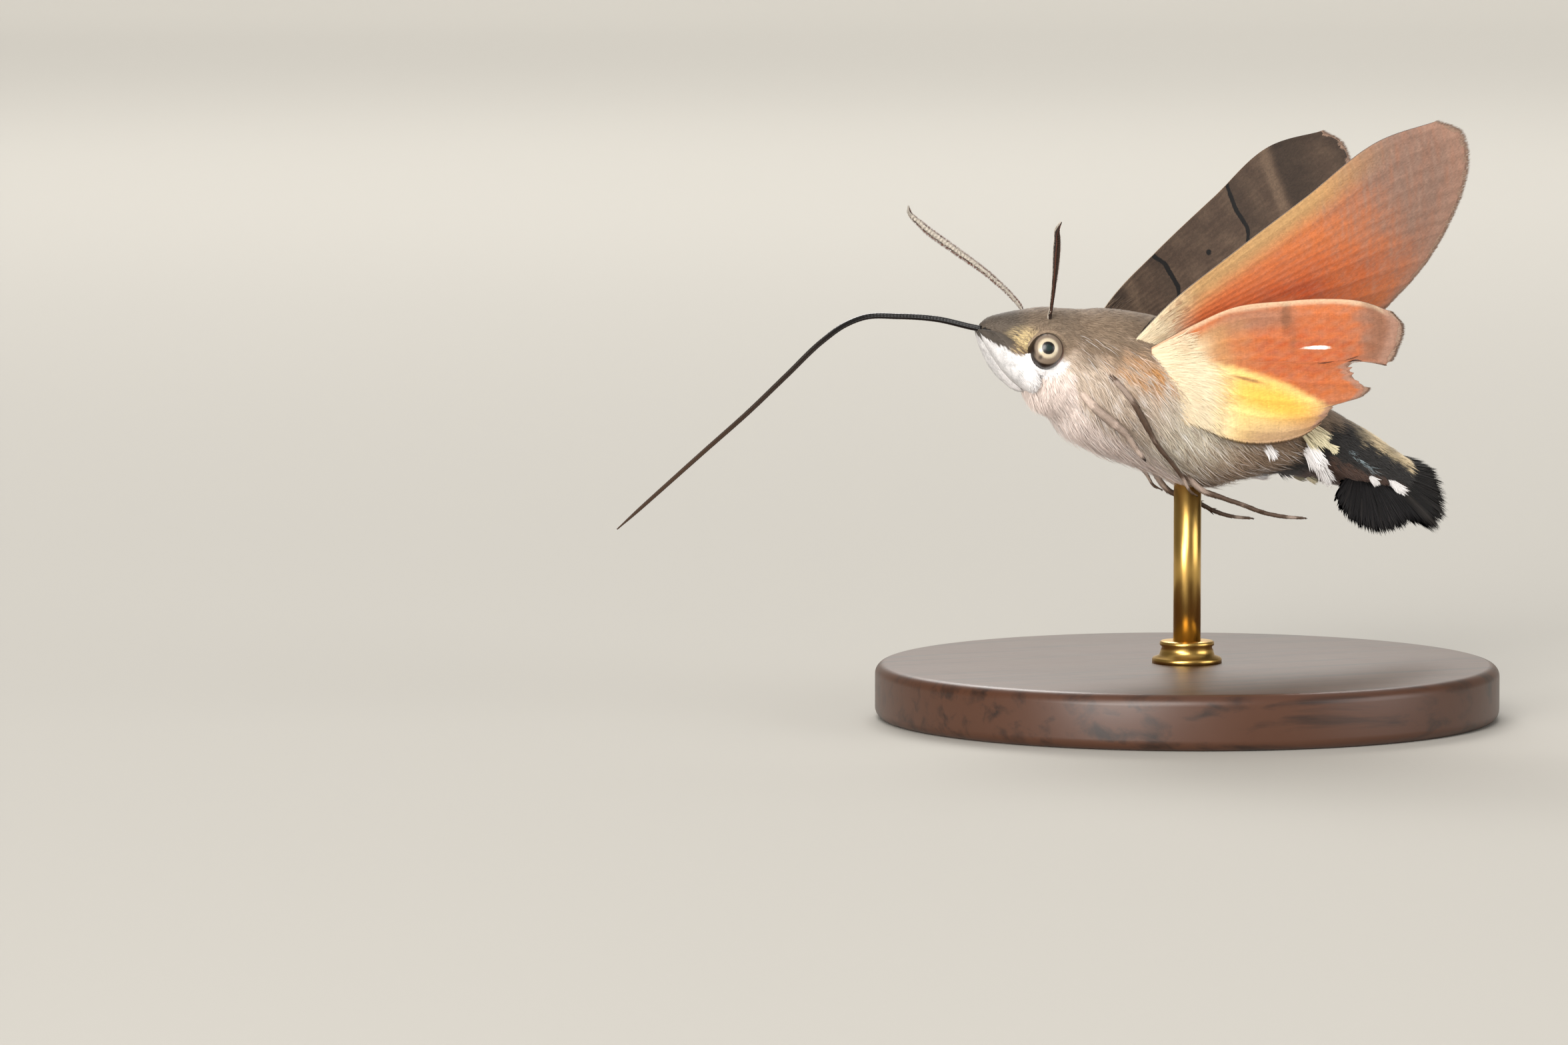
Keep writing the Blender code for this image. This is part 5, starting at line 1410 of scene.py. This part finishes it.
def wing_fringe(name, wing, side, tint_of, look, torn, rng, slot):
    """Grow the hair fringe along the margin and the inner edge of a wing."""
    batches = []
    for row, along_margin, length in ((1100, True, 0.34), (700, False, 0.30)):
        count = row * look.fringe_rows
        share = rng.random(count)
        inset = rng.uniform(0.0, 0.012, count)
        if along_margin:
            u, v = share, np.full(count, WING_INSET)
            if torn:
                v = v * smooth_value(TORN_EDGE, u)
            near = (u, v - inset)
            ahead = (u, v + 0.02)
            beside = (u - 0.02, v)
        else:
            u, v = np.ones(count), (0.12 + 0.86 * share) * WING_INSET
            near = (u - inset, v)
            ahead = (u + 0.02, v + 0.006)
            beside = (u, v + 0.02)
        root, flat = wing_points(wing, *near, rng.uniform(-0.012, 0.012, count), side)
        front, _ = wing_points(wing, *ahead, np.zeros(count), side)
        next_to, _ = wing_points(wing, *beside, np.zeros(count), side)
        lie = unit(unit(front - root) + 0.15 * unit(next_to - root) + rng.normal(0, 0.05, (count, 3)))
        out = unit(np.cross(lie, next_to - root))
        reach = length * rng.uniform(0.75, 1.05, count)
        if torn and along_margin:
            reach = reach * (1 - 0.85 * fade(smooth_value(TORN_EDGE, u), 0.995, 0.97))
        locks = grow_locks(root, out, lie, reach, 0.034 * rng.uniform(0.7, 1.3, count), 0.0, rng, 1,
                           settle=0.0, sway=0.05, soft=0.0)
        tint = mix(tint_of(flat, v, look), look.fringe, np.full(count, 0.75 if along_margin else 0.25))
        batches.append(finish_locks(locks, tint, share, 0.25 if along_margin else 0.75))
    hair = coat_material("wing fringe hair", 0.95, 1.12, 0.22, 0.7)
    lock_piece(name, batches, hair, slot, even=True)


def forewing(side):
    """Return the forewing of a side; the right one is turned back and raised."""
    return FOREWING if side < 0 else swept_back(FOREWING, RIGHT_SWEEP, RIGHT_RAISE)


def wing_pair(kind, wing_of, paints, materials, look, seed, torn_side=0):
    """Build a pair of wings; their paints and materials are given for the underside, then the upper side."""
    rng = np.random.default_rng(seed)
    slot = kind + "wing"
    for word, side in SIDES:
        wing, torn = wing_of(side), side == torn_side
        wing_surface(kind + "_membrane_" + word, wing, side, paints, materials, look, torn,
                     replaced=(slot + "_" + word,), slot=slot)
        wing_fringe(kind + "_fringe_" + word, wing, side, paints[0], look, torn, rng, slot)


def build_forewings(moth):
    """Build both forewings."""
    look = moth.wings
    materials = [wing_material("forewing under scales", 0.22, 0.40, look.under_base),
                 wing_material("forewing upper scales", 0.30, 0.40, look.upper_line)]
    wing_pair("fore", forewing, (forewing_under, forewing_upper), materials, look, 41)


def build_hindwings(moth):
    """Build both hindwings; the left one has a torn bay."""
    look = moth.wings
    materials = [wing_material("hindwing under scales", 0.20, 0.40, look.slash),
                 wing_material("hindwing upper scales", 0.28, 0.40, look.upper_dark)]
    wing_pair("hind", lambda side: HINDWING, (hindwing_under, hindwing_upper), materials, look, 43,
              torn_side=-1)


def build_wing_hair(moth):
    """Grow the long pale hairs that spread from the body over each wing's base."""
    rng = np.random.default_rng(47)
    look, wings = moth.coat, moth.wings
    hair = coat_material("wing-base hair", 0.92, 1.04, 0.16, 0.75, Sheen_Weight=0.2)
    for word, side in SIDES:
        batches = []
        for wing, tint_of, count, across, along, reach, face in (
            (HINDWING, hindwing_under, 3600, (0.02, 0.98), 0.40, 1.6, 1.0),
            (forewing(side), forewing_under, 1100, (0.05, 0.75), 0.16, 1.1, 1.0),
            (forewing(side), forewing_upper, 800, (0.0, 0.9), 0.16, 1.0, -1.0),
            (HINDWING, hindwing_upper, 700, (0.0, 0.9), 0.20, 1.2, -1.0),
        ):
            u, v = rng.uniform(*across, count), rng.beta(1.0, 2.2, count) * along
            if tint_of is hindwing_under:
                v = v * (0.32 + 0.68 * fade(u, 0.15, 0.66))
            root, flat = wing_points(wing, u, v, np.full(count, face * 0.05), side)
            ahead, _ = wing_points(wing, u + 0.02, v + 0.03, np.full(count, face * 0.05), side)
            lifted, _ = wing_points(wing, u, v, np.full(count, face * 0.3), side)
            fall = 1.0 - 0.55 * v / along
            length = reach * rng.uniform(0.6, 1.2, count) * fall
            locks = grow_locks(root, unit(lifted - root), unit(ahead - root), length,
                               0.05 * rng.uniform(0.7, 1.2, count), rng.uniform(4, 15, count) * fall, rng, 2,
                               settle=-2.0, sway=0.22, soft=0.8)
            below = tint_of(flat + np.array((0.5, 0.0)), np.minimum(v + 0.04, 1.0), wings)
            near = fade(v / along + rng.normal(0, 0.15, count), 0.75, 0.1)
            tint = mix(below, look.wing_hair if face > 0 else look.back, near * 0.9)
            tint = mix(tint, look.gold, 0.25 * fade(ripple(flat[:, 0], flat[:, 1], 0.9, 9), 0.3, 1.0) * near)
            batches.append(finish_locks(locks, tint, u * 0.9, v))
        lock_piece("wing_base_hair_" + word, batches, hair, "hindwing")


def leg_path(leg, side, share):
    """Return the points of a leg's route on one side of the body."""
    route = []
    for along, angle, lift in leg["on_body"]:
        top, bottom, half = (float(value) for value in columns(BODY_STATIONS, along))
        turn = math.radians(angle)
        route.append((along, -(half + lift) * math.cos(turn),
                      (top + bottom) / 2 + ((top - bottom) / 2 + lift) * math.sin(turn)))
    return mirrored(smooth_path(route + list(leg["free"]), share), side)


def leg_scales(leg, side, slim, frames, tint, rng):
    """Return the scales that lie along a leg."""
    across, upward, ahead = frames
    count = 2200
    at = rng.uniform(0.05, 0.97, count)
    index = (at * (len(tint) - 1)).astype(int)
    turn = rng.uniform(0.0, math.tau, count)
    out = across[index] * np.cos(turn)[:, None] + upward[index] * np.sin(turn)[:, None]
    start = leg_path(leg, side, at) + out * (smooth_value(leg["girth"], at) * slim * 0.94)[:, None]
    length = smooth_value(((0.0, 0.34), (0.6, 0.24), (1.0, 0.14)), at) * rng.uniform(0.7, 1.2, count)
    locks = grow_locks(start, out, ahead[index], length, 0.045 * rng.uniform(0.7, 1.2, count),
                       rng.uniform(3, 12, count), rng, 1, settle=0.0)
    return finish_locks(locks, tint[index], at, turn / math.tau)


def leg_spurs(leg, side, frames, tint, rng):
    """Return the two pairs of spurs of a middle or hind leg."""
    across, upward, ahead = frames
    spurs = []
    for where in (0.55, 0.66):
        at = np.full(2, where)
        index = (at * (len(tint) - 1)).astype(int)
        sway = np.array((-0.5, 0.5))[:, None]
        lie = unit(ahead[index] + across[index] * sway - upward[index] * 0.25)
        spur = grow_locks(leg_path(leg, side, at), upward[index], lie, (0.75, 0.55), 0.13, 0.0, rng, 4,
                          settle=0.0, flat=0.9)
        spurs.append(finish_locks(spur, tint[index], at, 0.1))
    return spurs


def leg_claws(path, frames, colour, rng):
    """Return the two claws at the end of a leg."""
    across, upward, ahead = (part[[-2]] for part in frames)
    claws = []
    for sign in (-1.0, 1.0):
        lie = unit(ahead + across * 0.6 * sign - upward * 0.4)
        claw = grow_locks(path[[-2]], upward, lie, 0.16, 0.05, 30.0, rng, 4, settle=-50.0, flat=0.9)
        claws.append(finish_locks(claw, plain(colour, 1), [0.99], 0.5))
    return claws


def build_legs(moth):
    """Build the six legs: jointed, scaled and spurred."""
    look = moth.small
    rng = np.random.default_rng(53)
    scales = coat_material("leg scales", 0.85, 1.08, 0.30, 0.6)
    material, tree, shader = new_material("leg skin", 0.55)
    feed(tree, shader, speckled(tree, attribute(tree, "tint", "Color"), noise(tree, 4200.0, 4.0),
                                (0.3, 0.6), (0.7, 1.1)))
    share, sides = np.linspace(0.0, 1.0, 150), 14
    knots = 1 + 0.10 * np.sin(share * math.pi * 16) * fade(share, 0.5, 0.7)
    bands = fade(ripple(share * 9, share * 0, 1.4, 71), -0.2, 0.5)
    for word, side in SIDES:
        for kind, key, slim, pale, dark_foot in (
            ("fore", "fore", 0.85, 0.95, 1.0),
            ("mid", "mid", 0.66, 0.32, 0.0),
            ("hind", "hind_" + word, 0.66, 0.32, 0.0),
        ):
            leg = LEGS[key]
            path = leg_path(leg, side, share)
            frames = path_frames(path)
            radii = smooth_value(leg["girth"], share) * slim * knots
            points, faces = closed_tube(tube_rings(path, radii, sides))
            tint = layered(look.leg, len(share), (look.leg_pale, bands * 0.6 + pale - 0.35),
                           (look.feeler, fade(share, 0.93, 0.96) * dark_foot))
            make_piece("leg_" + kind + "_" + word, points, faces, [material],
                       {"tint": with_ends(np.repeat(tint, sides, axis=0))},
                       replaced=(kind + "leg_" + word,), slot="leg")
            batches = [leg_scales(leg, side, slim, frames, tint, rng)]
            if kind != "fore":
                batches += leg_spurs(leg, side, frames, tint, rng)
            batches += leg_claws(path, frames, look.feeler, rng)
            lock_piece("leg_scales_" + kind + "_" + word, batches, scales, "leg")


def build_tail_brush(moth):
    """Build the black tail brush as tiers of long flat overlapping scales in two lobes."""
    rng = np.random.default_rng(61)
    look = moth.coat
    material = coat_material("tail brush scales", 0.75, 1.15, 0.6, 0.55, Specular_IOR_Level=0.22)
    batches = []
    tiers = ((2300, 0.86, 0.985, 0.0), (1700, 0.66, 0.90, 0.20), (1200, 0.40, 0.72, 0.34))
    for count, low, high, rise in tiers:
        share = rng.random(count)
        root, tip = smooth_path(BRUSH_ROOTS, share), smooth_path(BRUSH_TIPS, share)
        run = tip - root
        after, before = np.minimum(share + 0.02, 1.0), np.maximum(share - 0.02, 0.0)
        beside = smooth_path(BRUSH_TIPS, after) - smooth_path(BRUSH_TIPS, before)
        face = unit(np.cross(beside, run))
        layer = rng.uniform(-1.0, 1.0, count)[:, None]
        comb = 1.0 - 0.035 * (0.5 + 0.5 * np.sin(share * 150.0))
        reach = (rng.uniform(low, high, count) * smooth_value(BRUSH_REACH, share) * comb)[:, None]
        start = root + run * rng.uniform(0.0, 0.22, count)[:, None] + face * layer * 0.14
        finish = root + run * reach + face * layer * (0.14 + rise)
        way = finish + unit(beside) * rng.normal(0.0, 0.10, count)[:, None] - start
        locks = grow_locks(start, face * np.where(layer < 0, -1, 1), unit(way), np.linalg.norm(way, axis=1),
                           rng.uniform(0.10, 0.19, count), 3.0, rng, 4, settle=-3.0, sway=0.03, flat=0.16,
                           profile=(0.45, 0.85, 1.0, 0.85), soft=0.5)
        notch = spot(np.abs(share - 0.46), 0.045, 0.6) * fade(np.abs(layer[:, 0]), 0.1, 0.5)
        tint = layered(look.brush, count, (look.brush_tip, notch * 0.9 + 0.12 * rng.random(count)),
                       (look.brush_tip, fade(reach[:, 0], 0.92, 0.98) * 0.6))
        batches.append(finish_locks(locks, tint, share, 0.1 + 0.3 * (layer[:, 0] + 1)))
    lock_piece("tail_brush", batches, material, "brush")


def build_side_tufts(moth):
    """Grow the white and cream side tufts of the abdomen on both flanks."""
    rng = np.random.default_rng(67)
    material = coat_material("side tuft scales", 0.92, 1.06, 0.12, 0.65, Sheen_Weight=0.2)
    batches = []
    for along, angle, length, spread, droop, key in SIDE_TUFTS:
        for _, side in SIDES:
            count = int(220 * spread / 0.3)
            places = along + rng.normal(0.0, spread * 0.38, count)
            turn = angle + rng.normal(0.0, spread * 7.0, count)
            turn = turn if side < 0 else 180.0 - turn
            root, out, back, climb = body_frame(places, turn)
            lift = rng.uniform(0.05, 0.30, count)[:, None]
            lie = unit(back - climb * droop + climb * rng.normal(0.0, 0.16, count)[:, None])
            locks = grow_locks(root + out * lift, out, lie, length * rng.uniform(0.6, 1.1, count),
                               0.10 * rng.uniform(0.7, 1.3, count), rng.uniform(12, 30, count), rng, 4,
                               settle=-4.0, sway=0.12, flat=0.25, profile=(0.7, 1.0, 0.9, 0.6))
            tint = plain(getattr(moth.coat, key), count)
            batches.append(finish_locks(locks, tint, (places - 8.0) / 11.0, np.mod(turn, 360.0) / 360.0))
    lock_piece("side_tufts", batches, material, "hind_coat")


def turned(profile, sides, name, material, replaced, slot, centre=(0.0, 0.0)):
    """Make a turned piece from a profile of (radius, height) rows, bottom to top."""
    turn = np.arange(sides) * math.tau / sides
    rows = np.asarray(profile, float)
    ring = np.stack([np.cos(turn), np.sin(turn)], -1)
    rings = np.concatenate([
        rows[:, 0][:, None, None] * ring[None] + np.asarray(centre),
        np.repeat(rows[:, 1][:, None, None], sides, axis=1),
    ], axis=-1)
    points, faces = closed_tube(rings)
    return make_piece(name, points, faces, [material], replaced=replaced, slot=slot, moth_frame=False)


def rounded(radius, low, high, edge, steps=8):
    """Return the profile of a disc with rounded edges, from the middle of its foot to its top."""
    rows = [(radius * 0.5, low), (radius - edge, low)]
    for i in range(1, steps + 1):
        turn = math.pi / 2 * i / steps
        rows.append((radius - edge + edge * math.sin(turn), low + edge - edge * math.cos(turn)))
    for i in range(steps + 1):
        turn = math.pi / 2 * i / steps
        rows.append((radius - edge + edge * math.cos(turn), high - edge + edge * math.sin(turn)))
    rows.append((radius * 0.5, high))
    return rows


def handled_finish(tree, shader, tint, scale, dull, change, height=None, strength=0.0, depth=0.0):
    """Put the handled finish over a tint, on a material of the stand."""
    effect = shader_group("Handled finish", {"Tint": "Color", "Place": "Vector", "Scale": 400.0, "Dull": 0.35,
                                             "Change": 0.15}, {"Color": "Color", "Roughness": "Float"},
                          handled_clouds)
    finish = node(tree, "ShaderNodeGroup", {"Tint": tint, "Place": object_place(tree), "Scale": scale,
                                            "Dull": dull, "Change": change}, node_tree=effect)
    feed(tree, shader, finish.outputs["Color"], height, strength, depth)
    tree.links.new(finish.outputs["Roughness"], shader.inputs["Roughness"])


def wood_material(look):
    """Return stained hardwood with fine grain along X."""
    material, tree, shader = new_material("stained hardwood", 0.4, Coat_Weight=0.15, Coat_Roughness=0.3)
    along_grain = stretched(tree, object_place(tree), (60.0, 900.0, 900.0))
    grain = noise(tree, 1.0, 8.0, Vector=along_grain, Roughness=0.6, Distortion=0.4)
    base = ramp(tree, grain, ((0.3, look.wood_grain), (0.5, look.wood), (0.75, look.wood)))
    handled_finish(tree, shader, base, 260.0, 0.42, 0.12, grain, 0.15, 0.00005)
    return material


def brass_material(look):
    """Return satin brass with faint clouds."""
    material, tree, shader = new_material("satin brass", 0.3, Metallic=1.0)
    handled_finish(tree, shader, (*look.brass[:], 1.0), 700.0, 0.30, 0.10)
    return material


def build_stand(moth):
    """Build the turned base, the collar and the rod up into the belly fur."""
    wood, brass = wood_material(moth.stand), brass_material(moth.stand)
    radius, _, foot = (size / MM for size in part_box("stand_base")[1])
    turned(rounded(radius, 0.0, foot, 0.6), 160, "stand_turned_base", wood, ("stand_base",), "stand_wood")
    radius, _, top = (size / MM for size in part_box("stand_collar")[1])
    profile = [(radius * 0.5, foot), (radius, foot), (radius, foot + 0.22), (radius * 0.97, foot + 0.30),
               (radius * 0.80, foot + 0.42), (radius * 0.72, top - 0.32), (radius * 0.78, top - 0.22),
               (radius * 0.78, top - 0.06), (radius * 0.74, top), (radius * 0.4, top)]
    turned(profile, 96, "stand_turned_collar", brass, ("stand_collar",), "stand_metal")
    radius, _, top = (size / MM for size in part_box("stand_rod")[1])
    profile = [(radius * 0.5, foot), (radius, foot), (radius, top + 0.35), (radius * 0.5, top + 0.45)]
    turned(profile, 48, "stand_turned_rod", brass, ("stand_rod",), "stand_metal")


def build_floor(look):
    """Build the round floor that bends up into a backdrop all round."""
    material, tree, shader = new_material("plain floor", 0.85)
    pale = tuple(c * 0.96 for c in look.floor)
    feed(tree, shader, ramp(tree, noise(tree, 6.0, 3.0), ((0.3, pale), (0.7, look.floor))))
    rows = [(0.001, 0.0), (FLOOR_REACH, 0.0)]
    rows += [(FLOOR_REACH + FLOOR_BEND * math.sin(a), FLOOR_BEND - FLOOR_BEND * math.cos(a))
             for a in np.linspace(0.04, math.pi / 2, 24)]
    rows.append((FLOOR_REACH + FLOOR_BEND, BACKDROP_TOP))
    turn = np.arange(96) * math.tau / 96
    rings = np.stack([np.stack([r * np.cos(turn), r * np.sin(turn), np.full(96, z)], -1) for r, z in rows])
    mesh = bpy.data.meshes.new("stage_floor")
    mesh.from_pydata(rings.reshape(-1, 3).tolist(), [], grid_faces(len(rows), 96, True).tolist())
    mesh.polygons.foreach_set("use_smooth", np.ones(len(mesh.polygons), bool))
    mesh.materials.append(material)
    floor = bpy.data.objects.new("stage_floor", mesh)
    bpy.context.scene.collection.objects.link(floor)


def build_stage(moth):
    """Build the floor and backdrop, the lights and the photo's camera."""
    scene = bpy.context.scene
    scene.view_settings.view_transform = "Standard"
    build_floor(moth.stand)
    world = bpy.data.worlds.new("soft studio")
    world.use_nodes = True
    background = world.node_tree.nodes["Background"].inputs
    background["Color"].default_value = (1.0, 0.985, 0.97, 1.0)
    background["Strength"].default_value = 0.50
    scene.world = world
    for name, (lamp_at, target, size, power, colour) in LIGHTS.items():
        data = bpy.data.lights.new(name, "AREA")
        data.energy, data.size, data.color = power, size, colour
        lamp = bpy.data.objects.new(name, data)
        lamp.location = lamp_at
        lamp.visible_camera = False
        lamp.rotation_euler = look_rotation(np.asarray(target) - np.asarray(lamp_at)).to_euler()
        scene.collection.objects.link(lamp)
    level = math.cos(CAMERA_ELEVATION)
    back = np.array((math.sin(CAMERA_AZIMUTH) * level, -math.cos(CAMERA_AZIMUTH) * level,
                     math.sin(CAMERA_ELEVATION)))
    data = bpy.data.cameras.new("photo camera")
    data.lens, data.sensor_width, data.clip_start = CAMERA_LENS, CAMERA_SENSOR, 0.01
    camera = bpy.data.objects.new("photo camera", data)
    camera.location = (CAMERA_AIM + back * CAMERA_DISTANCE) * MM
    camera.rotation_euler = look_rotation(-back).to_euler()
    scene.collection.objects.link(camera)
    scene.camera = camera


def look_rotation(way):
    """Return the rotation that turns a camera or lamp to look along a direction."""
    back = -unit(np.asarray(way, float))
    right = unit(np.cross((0.0, 0.0, 1.0), back))
    up = np.cross(back, right)
    return Matrix(np.stack([right, up, back], axis=1).tolist())


class MothSettings(bpy.types.PropertyGroup):
    """All the sizes and colours of the model."""

    coat: PointerProperty(type=CoatLook)
    wings: PointerProperty(type=WingLook)
    small: PointerProperty(type=SmallPartLook)
    stand: PointerProperty(type=StandLook)


class BuildStep:
    """Shared work of the operators: run one building function on the scene's settings."""

    bl_options = {"REGISTER", "UNDO"}
    build = None

    def execute(self, context):
        type(self).build(context.scene.hawk_moth)
        return {"FINISHED"}


class MOTH_OT_skin(BuildStep, bpy.types.Operator):
    """Build the one skin under the whole coat"""

    bl_idname = "moth.skin"
    bl_label = "Skin"
    build = build_skin


class MOTH_OT_coat(BuildStep, bpy.types.Operator):
    """Grow the coat of head, thorax and abdomen"""

    bl_idname = "moth.coat"
    bl_label = "Coat"
    build = build_coat


class MOTH_OT_palps(BuildStep, bpy.types.Operator):
    """Build the white palps"""

    bl_idname = "moth.palps"
    bl_label = "Palps"
    build = build_palps


class MOTH_OT_eyes(BuildStep, bpy.types.Operator):
    """Build the compound eyes"""

    bl_idname = "moth.eyes"
    bl_label = "Eyes"
    build = build_eyes


class MOTH_OT_eye_scales(BuildStep, bpy.types.Operator):
    """Grow the scales round the eyes"""

    bl_idname = "moth.eye_scales"
    bl_label = "Eye scales"
    build = build_eye_scales


class MOTH_OT_tongue(BuildStep, bpy.types.Operator):
    """Build the long tongue"""

    bl_idname = "moth.tongue"
    bl_label = "Tongue"
    build = build_tongue


class MOTH_OT_antennae(BuildStep, bpy.types.Operator):
    """Build the antennae"""

    bl_idname = "moth.antennae"
    bl_label = "Antennae"
    build = build_antennae


class MOTH_OT_forewings(BuildStep, bpy.types.Operator):
    """Build the forewings with their fringes"""

    bl_idname = "moth.forewings"
    bl_label = "Forewings"
    build = build_forewings


class MOTH_OT_hindwings(BuildStep, bpy.types.Operator):
    """Build the hindwings with their fringes"""

    bl_idname = "moth.hindwings"
    bl_label = "Hindwings"
    build = build_hindwings


class MOTH_OT_wing_hair(BuildStep, bpy.types.Operator):
    """Grow the long hairs over the wing bases"""

    bl_idname = "moth.wing_hair"
    bl_label = "Wing-base hair"
    build = build_wing_hair


class MOTH_OT_legs(BuildStep, bpy.types.Operator):
    """Build the six scaled legs"""

    bl_idname = "moth.legs"
    bl_label = "Legs"
    build = build_legs


class MOTH_OT_tail_brush(BuildStep, bpy.types.Operator):
    """Build the black tail brush"""

    bl_idname = "moth.tail_brush"
    bl_label = "Tail brush"
    build = build_tail_brush


class MOTH_OT_side_tufts(BuildStep, bpy.types.Operator):
    """Grow the side tufts of the abdomen"""

    bl_idname = "moth.side_tufts"
    bl_label = "Side tufts"
    build = build_side_tufts


class MOTH_OT_stand(BuildStep, bpy.types.Operator):
    """Build the display stand"""

    bl_idname = "moth.stand"
    bl_label = "Stand"
    build = build_stand


class MOTH_OT_stage(BuildStep, bpy.types.Operator):
    """Build floor, lights and camera"""

    bl_idname = "moth.stage"
    bl_label = "Stage"
    build = build_stage


STEPS = (MOTH_OT_skin, MOTH_OT_coat, MOTH_OT_palps, MOTH_OT_eyes, MOTH_OT_eye_scales, MOTH_OT_tongue,
         MOTH_OT_antennae, MOTH_OT_forewings, MOTH_OT_hindwings, MOTH_OT_wing_hair, MOTH_OT_legs,
         MOTH_OT_tail_brush, MOTH_OT_side_tufts, MOTH_OT_stand, MOTH_OT_stage)


class MOTH_PT_panel(bpy.types.Panel):
    """Lists the building steps and the settings"""

    bl_idname = "MOTH_PT_panel"
    bl_label = "Hawk moth"
    bl_space_type = "VIEW_3D"
    bl_region_type = "UI"
    bl_category = "Hawk moth"

    def draw(self, context):
        layout = self.layout
        for step in STEPS:
            layout.operator(step.bl_idname)
        settings = context.scene.hawk_moth
        for label, group in (("Coat", settings.coat), ("Wings", settings.wings),
                             ("Small parts", settings.small), ("Stand", settings.stand)):
            box = layout.box()
            box.label(text=label)
            for key in group.bl_rna.properties.keys():
                if key not in ("rna_type", "name"):
                    box.prop(group, key)


CLASSES = (CoatLook, WingLook, SmallPartLook, StandLook, MothSettings, *STEPS, MOTH_PT_panel)


def register():
    """Register the classes and the scene's settings."""
    for item in CLASSES:
        bpy.utils.register_class(item)
    bpy.types.Scene.hawk_moth = PointerProperty(type=MothSettings)


def unregister():
    """Remove the classes and the scene's settings."""
    del bpy.types.Scene.hawk_moth
    for item in reversed(CLASSES):
        bpy.utils.unregister_class(item)


def main():
    """Register the classes and build every piece in order."""
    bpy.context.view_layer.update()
    register()
    for step in STEPS:
        group, name = step.bl_idname.split(".")
        getattr(getattr(bpy.ops, group), name)()


if __name__ == "__main__":
    main()
